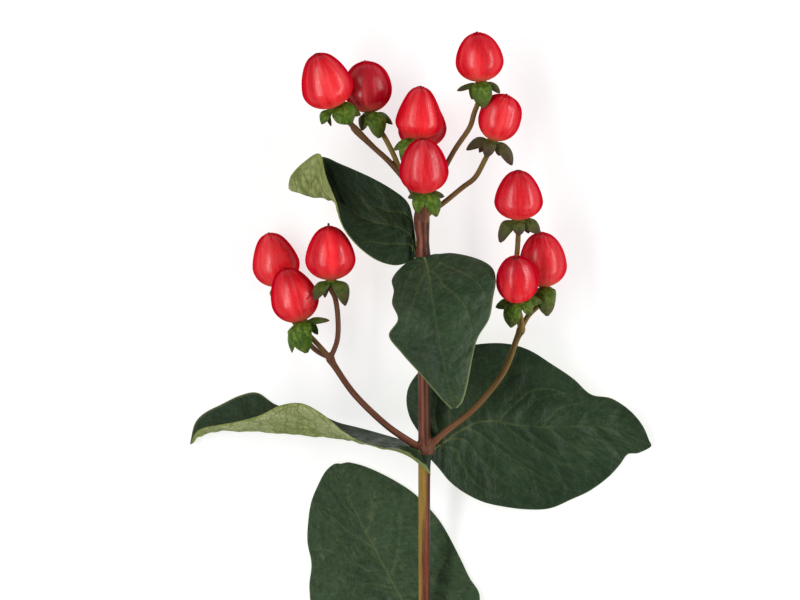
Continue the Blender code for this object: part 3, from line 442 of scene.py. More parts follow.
class Look:
    """A node material, with short calls for what feeds its shader."""

    def __init__(self, name, **constants):
        self.material = bpy.data.materials.new(name)
        self.material.use_nodes = True
        self.tree = self.material.node_tree
        self.shader = self.tree.nodes["Principled BSDF"]
        for socket, value in constants.items():
            self.shader.inputs[socket.replace("_", " ")].default_value = value

    def node(self, kind, inputs=None, **settings):
        """A new node, fed with values, with other nodes' sockets, or with a piece's numbers by name."""
        made = self.tree.nodes.new("ShaderNode" + kind)
        for name, value in settings.items():
            setattr(made, name, value)
        for socket, value in (inputs or {}).items():
            if isinstance(value, str):
                value = self.node("Attribute", attribute_name=value).outputs["Fac"]
            if isinstance(value, bpy.types.NodeSocket):
                self.tree.links.new(value, made.inputs[socket])
            else:
                made.inputs[socket].default_value = value
        return made

    def maths(self, kind, operation, first, second):
        return self.node(kind, {0: first, 1: second}, operation=operation).outputs[0]

    def plus(self, first, second):
        return self.maths("Math", "ADD", first, second)

    def times(self, first, second):
        return self.maths("Math", "MULTIPLY", first, second)

    def vector(self, name, stretch=(1.0, 1.0, 1.0)):
        source = self.node("Attribute", attribute_name=name).outputs["Vector"]
        return self.maths("VectorMath", "MULTIPLY", source, stretch)

    def noise(self, vector, scale, detail=3.0, roughness=0.55):
        sockets = {"Vector": vector, "Scale": scale, "Detail": detail, "Roughness": roughness}
        return self.node("TexNoise", sockets).outputs["Fac"]

    def warped(self, vector, scale, amount):
        """The vector pushed about by a soft noise, so that a net drawn on it has curved threads."""
        noise = self.node("TexNoise", {"Vector": vector, "Scale": scale, "Detail": 2.0})
        push = self.maths("VectorMath", "MULTIPLY", noise.outputs["Color"], [amount] * 3)
        return self.maths("VectorMath", "ADD", vector, push)

    def net(self, vector, scale):
        """Low on the edges of a net of cells and high inside them."""
        sockets = {"Vector": vector, "Scale": scale, "Randomness": 0.85}
        return self.node("TexVoronoi", sockets, feature="DISTANCE_TO_EDGE").outputs["Distance"]

    def spread(self, value, low, high, to_low=0.0, to_high=1.0):
        sockets = {"Value": value, "From Min": low, "From Max": high, "To Min": to_low, "To Max": to_high}
        return self.node("MapRange", sockets, clamp=True).outputs[0]

    def ramp(self, value, *stops):
        made = self.node("ValToRGB", {"Fac": value})
        elements = made.color_ramp.elements
        while len(elements) < len(stops):
            elements.new(0.5)
        for element, (place, colour) in zip(elements, stops):
            element.position = place
            element.color = rgb(*colour)
        return made.outputs["Color"]

    def paint(self, colour, *coats):
        """The colour under coats, each a share and what is mixed in by that share."""
        for share, coat in coats:
            coat = rgb(*coat) if isinstance(coat, tuple) else coat
            colour = self.node("Mix", {0: share, 6: colour, 7: coat}, data_type="RGBA").outputs[2]
        return colour

    def feed(self, socket, value):
        self.tree.links.new(value, self.shader.inputs[socket])

    def bump(self, height, strength, depth):
        sockets = {"Height": height, "Strength": strength, "Distance": depth * METRES}
        self.feed("Normal", self.node("Bump", sockets).outputs["Normal"])


def upper_leaf_look():
    """Dark green, a little blue, with pale sunken veins, fine cross ripples with painted sheen on them,
    patches of painted sheen and a faint net.
    """
    look = Look("leaf_upper_face", Specular_IOR_Level=0.16)
    blade = look.vector("blade")
    broad = look.plus(look.noise(blade, 0.09, 3.0), "tone")
    fine = look.noise(blade, 0.9, 4.0)
    ripple = look.noise(look.vector("blade", (1.5, 0.42, 1.0)), 1.0, 2.0)
    painted_sheen_patch = look.noise(look.vector("blade", (0.3, 0.5, 1.0)), 1.0, 5.0, 0.7)
    net = look.spread(look.net(blade, 0.62), 0.0, 0.16)
    coat_share = look.plus("tone", 0.22)
    look.feed("Base Color", look.paint(
        look.ramp(broad, (0.25, (26, 44, 23)), (0.5, (38, 57, 36)), (0.8, (56, 75, 50))),
        (look.spread(fine, 0.4, 0.7, 0.0, 0.55), (24, 39, 25)),
        # Painted sheen: paler green on the ripples and broad pale grey patches, stronger on lighter leaves
        (look.times(look.spread(ripple, 0.5, 0.72), coat_share), (70, 90, 60)),
        (look.times(look.spread(painted_sheen_patch, 0.56, 0.76), coat_share), (108, 112, 88)),
        (look.spread(net, 0.0, 1.0, 0.1, 0.0), (62, 82, 55)),
        (look.times("vein", 0.85), (128, 138, 78)),
        (look.spread("edge", 0.1, 1.0, 0.0, 0.85), (132, 142, 90)),
    ))
    look.feed("Roughness", look.spread(look.noise(blade, 0.35, 4.0), 0.3, 0.7, 0.38, 0.54))
    relief = look.plus(look.times(net, 0.4), look.times(fine, 0.6))
    look.bump(look.plus(relief, ripple), 0.7, 0.18)
    return look.material


def under_leaf_look():
    """Pale yellow-green with a darker net and side veins, and a pale midrib."""
    look = Look("leaf_under_face", Specular_IOR_Level=0.16)
    blade = look.vector("blade")
    bent = look.warped(blade, 0.35, 3.0)
    broad = look.noise(blade, 0.22, 4.0)
    net = look.spread(look.net(bent, 0.34), 0.0, 0.09)
    fine_net = look.spread(look.net(bent, 0.95), 0.0, 0.25)
    look.feed("Base Color", look.paint(
        look.ramp(broad, (0.3, (140, 150, 86)), (0.5, (164, 172, 110)), (0.7, (184, 190, 136))),
        (look.spread(net, 0.0, 1.0, 0.7, 0.0), (92, 110, 50)),
        (look.spread(fine_net, 0.0, 1.0, 0.5, 0.0), (94, 112, 58)),
        (look.times("rule", 0.6), (88, 106, 50)),
        (look.times("vein", 0.7), (160, 170, 104)),
        (look.spread("edge", 0.1, 0.7), (112, 122, 40)),
    ))
    look.feed("Roughness", look.spread(fine_net, 0.0, 1.0, 0.5, 0.62))
    look.bump(look.plus(net, fine_net), 0.5, 0.12)
    return look.material


def berry_look():
    """Glossy red skin with soft upright streaks, paler at the foot and darker where riper. Its pale pink
    streaks are partly the skin's own streaks and partly painted highlight, and its flanks carry painted
    shade.
    """
    look = Look("berry_skin", Specular_IOR_Level=0.3)
    streak = look.noise(look.vector("around", (2.2, 2.2, 0.5)), 1.0, 4.0)
    fine = look.noise(look.vector("around", (6.0, 6.0, 1.1)), 1.0, 3.0)
    grain = look.noise(look.vector("around", (9.0, 9.0, 9.0)), 1.0, 3.0)
    foot = look.ramp("height", (0.0, (200, 122, 80)), (0.1, (236, 92, 78)))
    look.feed("Base Color", look.paint(
        look.ramp("height", (0.15, (255, 42, 48)), (0.6, (252, 20, 36)), (0.88, (220, 4, 26)),
                  (1.0, (160, 8, 26))),
        ("ripe", (168, 0, 26)),
        # The pale pink streaks are partly the skin's own streaks and partly painted highlight
        (look.spread(streak, 0.48, 0.68, 0.0, 0.6), (255, 80, 84)),
        (look.spread(streak, 0.5, 0.32, 0.0, 0.6), (176, 0, 26)),
        (look.spread(fine, 0.55, 0.8, 0.0, 0.4), (255, 106, 100)),
        # Painted shade darkens the flanks
        (look.times("painted_flank_shade", 0.85), (172, 0, 28)),
        (look.spread("height", 0.02, 0.16, 0.75, 0.0), foot),
        ("scar", (58, 32, 26)),
    ))
    facing = look.node("LayerWeight", {"Blend": 0.5}).outputs["Facing"]
    look.feed("Specular IOR Level", look.spread(facing, 0.1, 0.5, 0.5, 0.0))
    look.feed("Roughness", look.spread(grain, 0.3, 0.7, 0.24, 0.38))
    look.bump(look.plus(streak, look.times(fine, 0.4)), 0.4, 0.3)
    return look.material


def calyx_look():
    """Green sepals with lengthwise nerves, browner towards the tip."""
    look = Look("calyx_green", Specular_IOR_Level=0.2)
    blotch = look.noise(look.vector("sepal"), 1.1, 4.0)
    nerves = look.noise(look.vector("sepal", (3.4, 0.25, 1.0)), 2.0, 3.0)
    coat_share = look.plus("brown", look.spread(blotch, 0.35, 0.7, -0.2, 0.2))
    brown = look.ramp(blotch, (0.3, (54, 44, 30)), (0.7, (88, 72, 48)))
    look.feed("Base Color", look.paint(
        look.ramp(blotch, (0.3, (42, 66, 8)), (0.52, (76, 106, 20)), (0.72, (124, 146, 56))),
        (look.spread(nerves, 0.5, 0.75, 0.0, 0.4), (46, 64, 18)),
        (look.spread(coat_share, 0.25, 0.85), brown),
    ))
    look.feed("Roughness", look.spread(blotch, 0.3, 0.7, 0.42, 0.6))
    look.bump(nerves, 0.4, 0.15)
    return look.material


def bark_look():
    """Smooth reddish bark with fine lengthwise lines, olive on some stalks, two-coloured at the bottom, with
    a painted highlight down the main axis's left-facing side and painted shade in a line along it and on its
    right-facing side.
    """
    look = Look("bark", Specular_IOR_Level=0.14)
    lines = look.noise(look.vector("grain"), 1.0, 4.0)
    blotch = look.noise(look.vector("grain", (0.4, 0.6, 0.4)), 1.0, 3.0)
    olive = look.ramp(blotch, (0.3, (102, 92, 38)), (0.7, (138, 120, 60)))
    rusty = look.ramp(blotch, (0.3, (88, 42, 30)), (0.7, (126, 62, 44)))
    sunny = look.ramp(blotch, (0.3, (134, 108, 46)), (0.7, (162, 132, 60)))
    look.feed("Base Color", look.paint(
        look.ramp(blotch, (0.3, (72, 40, 28)), (0.55, (98, 56, 42)), (0.8, (134, 80, 62))),
        ("olive", olive),
        # Painted highlight: a pale stripe down the left-facing side of the main axis
        ("ridge", (168, 98, 78)),
        ("low", look.paint(rusty, ("sunny", sunny))),
        (look.spread(lines, 0.5, 0.7, 0.0, 0.55), (52, 32, 22)),
        (look.spread(lines, 0.45, 0.3, 0.0, 0.3), (160, 118, 84)),
        ("shade", (46, 30, 20)),
        ("scar", (76, 52, 40)),
        ("clasp", (42, 54, 34)),
        ("pith", (190, 180, 130)),
    ))
    look.feed("Roughness", look.spread(lines, 0.3, 0.7, 0.36, 0.52))
    look.bump(lines, 0.5, 0.12)
    return look.material


def unit(vectors):
    return vectors / np.linalg.norm(vectors, axis=-1, keepdims=True)


def bell(distance, width):
    return np.exp(-(distance / width) ** 2)


def smooth_line(points, spans):
    """Evenly spaced samples of a smooth curve through the points, of any number of columns."""
    keys = np.array(points, float)
    keys = np.vstack([2 * keys[0] - keys[1], keys, 2 * keys[-1] - keys[-2]])
    last = len(points) - 1
    found = []
    for place in np.linspace(0, last, spans + 1):
        index = min(int(place), last - 1)
        t = place - index
        a, b, c, d = keys[index:index + 4]
        found.append(0.5 * (2 * b + (c - a) * t + (2 * a - 5 * b + 4 * c - d) * t**2
                            + (3 * b - a - 3 * c + d) * t**3))
    return np.array(found)


def circle(sides, across, beside):
    """The angles of the points on a ring, and the way out to each of them."""
    turn = 2 * math.pi * np.arange(sides) / sides
    return turn, np.cos(turn)[:, None] * across + np.sin(turn)[:, None] * beside


def ring_faces(rings, sides, first=0):
    """Faces of a closed body through rings of points, with flat ends."""
    faces = []
    for row in range(rings - 1):
        for step in range(sides):
            here = first + row * sides + step
            beside = first + row * sides + (step + 1) % sides
            faces.append((here, beside, beside + sides, here + sides))
    last = first + (rings - 1) * sides
    faces.append(tuple(range(first, first + sides))[::-1])
    faces.append(tuple(range(last, last + sides)))
    return faces


def point_tree(points):
    tree = KDTree(len(points))
    for index, point in enumerate(points):
        tree.insert(point, index)
    tree.balance()
    return tree


def placed(name, data):
    """A new object in the scene."""
    made = bpy.data.objects.new(name, data)
    bpy.context.scene.collection.objects.link(made)
    return made


def finished(name, node, points, faces, looks, numbers, vectors, face_looks=None):
    """A smooth-shaded piece from points in millimetres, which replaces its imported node.

    The numbers and vectors, spread over all its points, are what its looks read by name.
    """
    mesh = bpy.data.meshes.new(name)
    points = np.asarray(points, float)
    places = (points.reshape(-1, 3) - ORIGIN) * METRES
    places[:, 2] = np.maximum(places[:, 2], 0.0)
    mesh.from_pydata(places.tolist(), [], faces)
    for look in looks:
        mesh.materials.append(look)
    if face_looks is not None:
        mesh.polygons.foreach_set("material_index", np.asarray(face_looks, np.int32))
    for kind, key, shape, labelled in (("FLOAT", "value", points.shape[:-1], numbers),
                                       ("FLOAT_VECTOR", "vector", points.shape, vectors)):
        for label, values in labelled.items():
            flat = np.array(np.broadcast_to(values, shape), np.float32).reshape(-1)
            mesh.attributes.new(label, kind, "POINT").data.foreach_set(key, flat)
    mesh.shade_smooth()
    mesh.update()
    piece = placed(name, mesh)
    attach(piece, "root")
    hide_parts(node)


def blade_normals(grid):
    normals = np.cross(np.gradient(grid, axis=0), np.gradient(grid, axis=1))
    return normals / np.maximum(np.linalg.norm(normals, axis=2, keepdims=True), 1e-9)


def blade_grid(stations, arch):
    """The middle of a blade as a grid from base to tip, with its columns' places and its length."""
    keys = np.reshape(stations, (-1, 3, 3))
    length = np.linalg.norm(np.diff(keys[:, 0], axis=0), axis=1).sum()
    width = np.linalg.norm(keys[:, 1:] - keys[:, :1], axis=2).sum(axis=1)
    line = smooth_line(keys.reshape(-1, 9), int(length / LEAF_CELL)).reshape(-1, 3, 3)
    midrib, left, right = line[:, None, 0], line[:, None, 1], line[:, None, 2]
    side = np.linspace(-1, 1, 2 * int(width.max() / LEAF_CELL / 2) + 1)
    share = np.hypot(side, MIDRIB_SOFTNESS) - MIDRIB_SOFTNESS
    share /= share[0]
    grid = (1 - share)[:, None] * midrib + share[:, None] * np.where(side[:, None] < 0, left, right)
    widths = np.linalg.norm(left - right, axis=2)
    rise = 4 * arch * share * (1 - share) * (widths / widths.max())
    return grid + blade_normals(grid) * rise[:, :, None], side, length


def fine_veins(grid):
    """Side veins that leave the midrib by a rule and bend towards the tip."""
    rows = grid.shape[0] - 1
    half = (grid.shape[1] - 1) // 2
    shares = np.linspace(0.0, 0.9, 30)
    routes = []
    for start in FINE_VEIN_STARTS:
        for way in (-1, 1):
            along = start + FINE_VEIN_STAGGER * way + FINE_VEIN_LEAN * (shares + shares**2)
            keep = along < 0.96
            row = (along[keep] * rows).round().astype(int)
            column = (half + way * shares[keep] * half).round().astype(int)
            if len(row) > 8:
                routes.append(grid[row, column][::3])
    return routes


def vein_distance(grid, routes):
    """Each point's distance from the nearest route and how far along the route that is."""
    lines = [smooth_line(points, 12 * (len(points) - 1)) for points in routes]
    travelled = np.concatenate([np.arange(len(line)) / len(line) for line in lines])
    tree = point_tree(np.concatenate(lines))
    found = np.array([tree.find(place)[1:] for place in grid.reshape(-1, 3)])
    shape = grid.shape[:2]
    return found[:, 1].reshape(shape), travelled[found[:, 0].astype(int)].reshape(shape)


def vein_layers(veins, grid):
    """How pale, how dark, how sunk above and how raised below the blade is at its veins."""
    flat = grid.reshape(-1, 3)
    distance, travelled = vein_distance(grid, [grid[::6, (grid.shape[1] - 1) // 2]])
    strong, weak, reach = veins["midrib"]
    midrib = weak + (strong - weak) * np.exp(-travelled / reach)
    layers = {"vein": midrib * bell(distance, 0.28 - 0.12 * travelled), "rule": np.zeros(distance.shape),
              "groove": 0.3 * bell(distance, 1.0), "ridge": 0.16 * bell(distance, 0.45)}
    seen = [[flat[np.argmin(np.hypot(flat[:, 0] - x, flat[:, 1] - y))] for x, y in route]
            for route in veins["routes"]]
    for kind, routes in (("main", seen), ("fine", fine_veins(grid))):
        if routes:
            distance, travelled = vein_distance(grid, routes)
            for layer, (strength, loss, width) in SIDE_VEINS[kind].items():
                height = (strength - loss * travelled) * bell(distance, width)
                layers[layer] = np.maximum(layers[layer], height)
    return layers


def waves(blade, rng):
    """Soft uneven quilting over a blade, in millimetres."""
    height = np.zeros(blade.shape[:2])
    for _ in range(WAVE_COUNT):
        length = rng.uniform(*WAVE_LENGTHS)
        turn = rng.uniform(-WAVE_TURN, WAVE_TURN)
        phase = rng.uniform(0, 2 * math.pi)
        along = blade[:, :, 0] * math.cos(turn) + blade[:, :, 1] * math.sin(turn)
        height += WAVE_STEEPNESS * length * np.sin(2 * math.pi * along / length + phase)
    return height


def blade_faces(rows, columns):
    """The upper faces of a blade, then its lower ones and its rim."""
    index = np.arange(rows * columns).reshape(rows, columns)
    upper = np.stack([index[:-1, :-1], index[:-1, 1:], index[1:, 1:], index[1:, :-1]], axis=2).reshape(-1, 4)
    around = np.concatenate([index[0, :-1], index[:-1, -1], index[-1, :0:-1], index[:0:-1, 0]])
    ahead = np.roll(around, -1)
    rim = np.stack([around, around + index.size, ahead + index.size, ahead], axis=1)
    return upper, np.concatenate([upper[:, ::-1] + index.size, rim])


def build_leaf(name, shape, seed, looks):
    """A thin blade with veins sunk into its upper face and raised on its lower one."""
    veins = VEINS[name]
    grid, side, length = blade_grid(shape["stations"], shape["arch"])
    rows, columns, _ = grid.shape
    share = np.linspace(0, 1, rows)[:, None]
    outward = np.abs(side)
    half_width = np.linalg.norm(grid[:, -1] - grid[:, 0], axis=1)[:, None] / 2
    blade = np.stack(np.broadcast_arrays(share * length, side * half_width, 7.0 * seed), axis=2)
    layers = vein_layers(veins, grid)
    rim = bell((1 - outward) * half_width, RIM_WIDTH) * np.interp(share, (0.3, 0.65), (0.2, veins["rim"]))
    if name == CURLED_LEAF:
        rim = np.maximum(rim, np.clip((side - 0.6) / 0.08, 0, 1) * np.clip((0.2 - share) / 0.05, 0, 1))
    fade = (1 - outward**12) * np.clip((rows - 1 - np.arange(rows)) / TIP_FADE_ROWS, 0, 1)[:, None]
    shift = (waves(blade, np.random.default_rng(seed)) - layers["groove"]) * fade
    # Less relief close to the floor, so that the blade stays above it
    room = 0.1 + 0.5 * np.maximum(grid[:, :, 2] - 0.6, 0)
    shift = np.clip(shift, -room, room)
    half = 0.5 * (LEAF_EDGE_THICKNESS + (LEAF_THICKNESS - LEAF_EDGE_THICKNESS) * (1 - outward**3))
    heights = np.stack([shift + half, shift - half - layers["ridge"]])
    points = grid + blade_normals(grid) * veins["upper"] * heights[:, :, :, None]
    upper, others = blade_faces(rows, columns)
    # A step of -1 turns the faces over where the upper face is the grid's other side
    faces = np.concatenate([upper, others])[:, ::veins["upper"]].tolist()
    numbers = {"vein": layers["vein"], "rule": layers["rule"], "edge": rim, "tone": veins["tone"]}
    finished(name + "_blade", name, points, faces, looks, numbers, {"blade": blade},
             np.arange(len(faces)) >= len(upper))


def fruit_frame(fruit):
    """The foot of a berry and its axis, its way to the right and its way up."""
    foot = np.array(fruit["foot"])
    axis = unit(np.array(fruit["tip"]) - foot)
    up = np.array((0.0, 0.0, 1.0))
    up = unit(up - axis * up.dot(axis))
    return foot, axis, np.cross(axis, up), up


def berry_profile(fruit):
    """Heights, radii and scar shares from the neck in the cup, over the belly, to the dried style."""
    length = np.linalg.norm(np.array(fruit["tip"]) - np.array(fruit["foot"]))
    half_width = fruit["width"] / 2
    lowest = -math.acos(BERRY_FOOT_RADIUS / half_width)
    base = TOUCH_GAP / 2
    belly = base + fruit["belly"] * (length - base)
    profile = [(-base, BERRY_NECK_RADIUS, 0.0), (base, BERRY_NECK_RADIUS, 0.0)]
    for angle in np.linspace(lowest, math.radians(BERRY_TIP_ANGLE), BERRY_RINGS):
        sine = math.sin(angle)
        if angle < 0:
            height = belly - (belly - base) * sine / math.sin(lowest)
            radius = half_width * math.cos(angle)
        else:
            height = belly + (length - belly) * sine
            narrowing = 1 - fruit["taper"] * sine * (1 - sine**TAPER_END)
            radius = half_width * math.sqrt(1 - sine ** fruit["blunt"]) * narrowing
        if radius > BERRY_TOP_RADIUS:
            profile.append((height, radius, 0.0))
    for rise, share, radius, scar in BERRY_TOP:
        profile.append((length + rise + share * fruit["style"], radius, scar))
    return np.array(profile), length


def build_berry(number, fruit, seed, look):
    """A turned berry with three soft lobes, faint ribs and the dried style on its tip."""
    rng = np.random.default_rng(seed)
    foot, axis, right, up = fruit_frame(fruit)
    profile, length = berry_profile(fruit)
    turn, outs = circle(BERRY_SIDES, right, up)
    lobes = BERRY_LOBE_SHARE * np.cos(3 * turn)
    ribs = sum(depth * np.cos(count * turn + rng.uniform(0, 6)) for count, depth in BERRY_RIBS)
    crease = BERRY_CREASE * bell(np.sin(1.5 * turn + math.pi / 2), 0.2)
    drift = rng.uniform(0, 50, 3)
    height, radius, scar = profile.T[:, :, None]
    share = np.clip(height / length, 0, 1)
    upper = np.maximum(0, share - 0.55) / 0.45
    dent = 1 + BERRY_DENT * np.sin(5 * share + drift[0])
    reach = radius * dent * (1 + lobes + ribs * (0.6 + share) - crease * upper)
    points = foot + axis * height[:, :, None] + outs * reach[:, :, None]
    around = np.stack(np.broadcast_arrays(np.cos(turn), np.sin(turn), 2 * share), axis=2) + drift
    # Painted shade, darkest on the berry's flanks to either side of its axis
    numbers = {"height": share, "scar": scar, "painted_flank_shade": np.abs(np.cos(turn)) ** 3, "ripe": fruit["ripe"]}
    faces = ring_faces(len(profile), BERRY_SIDES)
    finished(f"berry_{number}_skin", "berry_" + number, points, faces, [look], numbers,
             {"around": around})


def sepal_rings(fruit, tip, width, rng):
    """Rings of points round a thin oval blade that bends back, and each point's place on it."""
    foot, axis, _, _ = fruit_frame(fruit)
    base = foot - axis * SEPAL_ROOT_DEPTH
    out = np.array(tip) - base
    out = unit(out - axis * out.dot(axis))
    root = base + out * SEPAL_ROOT_RADIUS
    length = np.linalg.norm(tip - root)
    elbow = root + out * (SEPAL_SPREAD + SEPAL_BEND_SHARE * length)
    facing = out + np.array((0, 0, SEPAL_TURN if out[2] > SEPAL_DOWN else -SEPAL_TURN))
    across = unit(np.cross(facing, tip - root))
    columns = np.linspace(-1, 1, SEPAL_COLUMNS + 1)
    outward = np.abs(columns)
    wave = rng.uniform(0, 6)
    rings, places = [], []
    for t, share in smooth_line(SEPAL_OUTLINE, SEPAL_RINGS):
        centre = root * (1 - t) ** 2 + elbow * 2 * t * (1 - t) + np.array(tip) * t * t
        face = unit(np.cross((elbow - root) * (1 - t) + (tip - elbow) * t, across))
        half = width / 2 * share * (1 + 0.04 * math.sin(9 * t + wave))
        cup = SEPAL_CUP_SHARE * width * share * (1 - columns**2)
        cup += SEPAL_WAVE * np.sin(5 * t + 1.4 * columns + wave) * t * outward
        relief = SEPAL_KEEL * bell(columns, 0.14) + SEPAL_NERVE * np.cos(9 * columns) * (1 - outward)
        thick = 0.07 + 0.16 * (1 - outward**3) * (1 - 0.5 * t)
        middle = centre + across * (half * columns)[:, None]
        outer = middle + face * (cup + relief + thick)[:, None]
        inner = middle + face * (cup - thick)[:, None]
        rings.append(np.concatenate([outer, inner[::-1]]))
        places += [(c * half, t * length, t) for c in (*columns, *columns[::-1])]
    return rings, places


def build_calyx(number, fruit, seed, look):
    """The cup under a berry with its five sepals."""
    rng = np.random.default_rng(seed)
    foot, axis, right, up = fruit_frame(fruit)
    cup = np.vstack([(CALYX_DEPTH + TOUCH_GAP / 2, CUP_NECK_RADIUS), smooth_line(CUP_PROFILE, CUP_RINGS)])
    turn, outs = circle(CUP_SIDES, right, up)
    points = [foot - axis * (TOUCH_GAP / 2 + depth) + out * radius for depth, radius in cup for out in outs]
    sepal_places = [(3 * angle, depth, 9.0) for depth, _ in cup for angle in turn]
    brown = [0.1 + 0.5 * fruit["brown"]] * len(points)
    faces = ring_faces(len(cup), CUP_SIDES)
    for index, (*tip, width) in enumerate(fruit["sepals"]):
        rings, places = sepal_rings(fruit, tip, width, rng)
        faces += ring_faces(len(rings), len(rings[0]), len(points))
        points += [point for ring in rings for point in ring]
        sepal_places += [(x, y + 11 * index, 3.0 * seed) for x, y, _ in places]
        tone = fruit["brown"] + (0.4 if width < NARROW_SEPAL else 0.0)
        brown += [tone + max(0.0, t - 0.6) for _, _, t in places]
    finished(f"calyx_{number}_sepals", "calyx_" + number, points, faces, [look],
             {"brown": brown}, {"sepal": sepal_places})


def tube(route, spans, ridge=0.0):
    """Rings round a route of x, y, z and radius, with the route's samples and the way ahead at each."""
    line = smooth_line(route, spans)
    ways = unit(np.gradient(line[:, :3], axis=0))
    across = np.array((0.0, 0.0, 1.0))
    rings = []
    for sample, ahead in zip(line, ways):
        across = unit(across - ahead * across.dot(ahead))
        turn, outs = circle(STEM_SIDES, across, np.cross(ahead, across))
        radius = sample[3] * (1 + ridge * np.cos(2 * turn))
        rings.append(sample[:3] + radius[:, None] * outs)
    return np.concatenate(rings), line[:, :3], ways


def stalk_route(fruit):
    """The points of a fruit stalk, ending under its calyx."""
    foot, axis, _, _ = fruit_frame(fruit)
    end = foot - axis * (CALYX_DEPTH + TOUCH_GAP)
    route = [(*point, STALK_RADIUS) for point in fruit["stalk"]]
    return route + [(*(end - axis * STALK_END), STALK_RADIUS), (*end, STALK_RADIUS * STALK_FLARE)]


def grown(points, faces):
    """One smooth body grown from tubes that run into one another, in metres."""
    raw = bpy.data.meshes.new("stem_raw")
    raw.from_pydata(((np.array(points) - ORIGIN) * METRES).tolist(), [], faces)
    shape = placed("stem_raw", raw)
    grow = shape.modifiers.new("Grow", "REMESH")
    grow.mode = "VOXEL"
    grow.voxel_size = STEM_VOXEL * METRES
    soften = shape.modifiers.new("Soften", "SMOOTH")
    soften.factor = 0.5
    soften.iterations = 4
    graph = bpy.context.evaluated_depsgraph_get()
    body = bpy.data.meshes.new_from_object(shape.evaluated_get(graph))
    bpy.data.objects.remove(shape, do_unlink=True)
    return body


def vertex_values(mesh, key):
    values = np.empty(len(mesh.vertices) * 3)
    mesh.vertices.foreach_get(key, values)
    return values.reshape(-1, 3)


def bark_numbers(level, facing, back, on_axis, olive):
    """The patches of the bark, by the level on the main axis and the way it faces, with painted highlight and
    painted shade among them.

    Facing is how far the surface faces right, and back how far it faces the cut end.
    """
    low = np.clip((LOW_LEVEL - level) / 2.5, 0, 1)
    collar = bell(level - COLLAR_LEVEL, 0.5)
    clasp = np.minimum(CLASP_LEVELS[1] - level, level - CLASP_LEVELS[0] + 1.5 * facing) / 0.3
    turning = np.interp(level, TURNING_LEVELS, (-0.5, 0.3))
    # Painted shade: a dark line along the main axis just right of its middle, and its right-facing side
    groove = 0.75 * bell(facing - 0.12, 0.17) * (1 - low)
    ring = np.min([np.abs(level - scar) for scar in SCAR_LEVELS], axis=0)
    patches = {
        "low": low,
        "clasp": np.clip(clasp, 0, 1),
        # Painted highlight: the ridge number lightens the left-facing side of the main axis
        "ridge": 0.5 * (1 - collar) * bell(facing + 0.3, 0.3),
        "sunny": np.clip(0.5 - 1.6 * (facing - turning), 0, 1),
        "shade": np.maximum(groove, 0.7 * np.clip((facing - 0.45) / 0.35, 0, 1)),
        "scar": 0.55 * bell(ring, 0.35),
        "pith": (back > 0.85) & (level < CUT_LEVEL),
    }
    return {"olive": olive + collar * on_axis, **{label: patch * on_axis for label, patch in patches.items()}}


def build_stem(look):
    """The main axis, twigs and stalks grown into one smooth body."""
    stalks = {name: stalk_route(fruit) for name, fruit in FRUITS.items()}
    points, faces, samples = [], [], []
    for name, route in {"stem": STEM_ROUTE, **TWIG_ROUTES, **stalks}.items():
        length = np.linalg.norm(np.diff(np.array(route)[:, :3], axis=0), axis=1).sum()
        spans = int(length / STEM_STEP)
        rings, line, ways = tube(route, spans, RIDGE_SHARE if name == "stem" else 0.0)
        faces += ring_faces(spans + 1, STEM_SIDES, len(points))
        points += rings.tolist()
        share = np.linspace(0, 1, spans + 1)
        olive = np.interp(share, (0, 1), OLIVE[name])
        on_axis = np.full(spans + 1, name == "stem")
        samples.append(np.column_stack([line, ways, share * length, olive, on_axis]))
    body = grown(points, faces)
    places = vertex_values(body, "co") / METRES + ORIGIN
    normals = vertex_values(body, "normal")
    samples = np.concatenate(samples)
    tree = point_tree(samples[:, :3])
    nearest = samples[[tree.find(place)[1] for place in places]]
    travelled, olive, on_axis = nearest[:, 6:].T
    out = places - nearest[:, :3]
    beside = np.cross(nearest[:, 3:6], (0.0, 0.0, 1.0))
    angle = np.arctan2(out[:, 2], (out * beside).sum(axis=1))
    grain = np.column_stack([2.2 * np.cos(angle), 2.2 * np.sin(angle), 0.22 * travelled])
    numbers = bark_numbers(places[:, 1], normals[:, 0], -normals[:, 1], on_axis, olive)
    faces = [tuple(face.vertices) for face in body.polygons]
    finished("stem_wood", "stem", places, faces, [look], numbers, {"grain": grain})


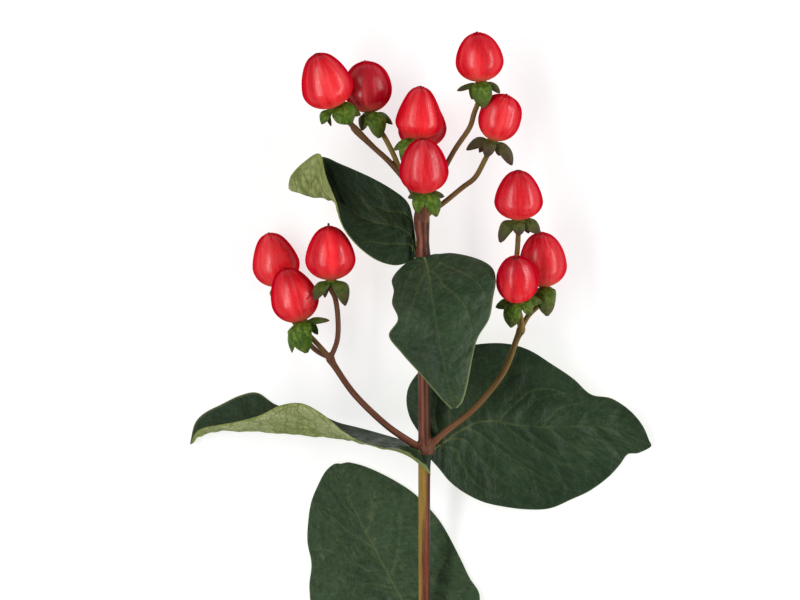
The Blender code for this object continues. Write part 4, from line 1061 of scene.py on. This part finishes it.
def build_floor():
    """A table lit white from within, as for a product photograph."""
    corners = [(x * FLOOR_HALF, y * FLOOR_HALF, FLOOR_LEVEL) for x, y in ((-1, -1), (1, -1), (1, 1), (-1, 1))]
    mesh = bpy.data.meshes.new("floor")
    mesh.from_pydata(corners, [], [(0, 1, 2, 3)])
    look = Look("floor_white", Specular_IOR_Level=0.1, Roughness=0.9, Emission_Color=(1.0, 1.0, 1.0, 1.0),
                Emission_Strength=FLOOR_GLOW)
    speck = look.noise(look.node("TexCoord").outputs["Object"], 300.0, 2.0)
    look.feed("Base Color", look.spread(speck, 0.0, 1.0, *FLOOR_GREYS))
    mesh.materials.append(look.material)
    placed("floor", mesh)


def view_centre():
    """The middle of the photograph's frame, on the floor and in metres."""
    return (np.array(VIEW_CENTRE) - ORIGIN[:2]) * METRES


def build_lights():
    """A long narrow soft box on either side of the stem, the right one lower, and a white surround."""
    x, y = view_centre()
    for name, box in SOFT_BOXES.items():
        light = bpy.data.lights.new(name, "AREA")
        light.shape = "RECTANGLE"
        light.size, light.size_y = box["size"]
        light.energy = box["power"]
        aside, height = box["place"]
        lamp = placed(name, light)
        lamp.location = (x + aside, y, height)
        lamp.rotation_euler = Vector((-aside, 0.0, -height)).to_track_quat("-Z", "Y").to_euler()
    world = bpy.data.worlds.new("surround")
    world.use_nodes = True
    background = world.node_tree.nodes["Background"]
    background.inputs["Color"].default_value = (1.0, 1.0, 1.0, 1.0)
    background.inputs["Strength"].default_value = SURROUND_STRENGTH
    bpy.context.scene.world = world


def build_camera():
    """Straight above the stem, with a long lens, so that up in the picture is +Y."""
    data = bpy.data.cameras.new("camera")
    data.sensor_width = SENSOR
    data.lens = SENSOR * (VIEW_HEIGHT_ABOVE - STEM_LEVEL) / VIEW_WIDTH
    data.clip_end = 10.0
    camera = placed("camera", data)
    camera.location = (*view_centre(), VIEW_HEIGHT_ABOVE * METRES)
    bpy.context.scene.camera = camera


def build_all():
    leaf_looks = [upper_leaf_look(), under_leaf_look()]
    skin, green, bark = berry_look(), calyx_look(), bark_look()
    for seed, (name, shape) in enumerate(LEAVES.items()):
        build_leaf(name, shape, seed + 1, leaf_looks)
    for seed, (number, fruit) in enumerate(FRUITS.items()):
        build_calyx(number, fruit, seed + 20, green)
        build_berry(number, fruit, seed + 40, skin)
    build_stem(bark)


bpy.context.scene.view_settings.view_transform = "Standard"
build_camera()
build_lights()
build_floor()
build_all()
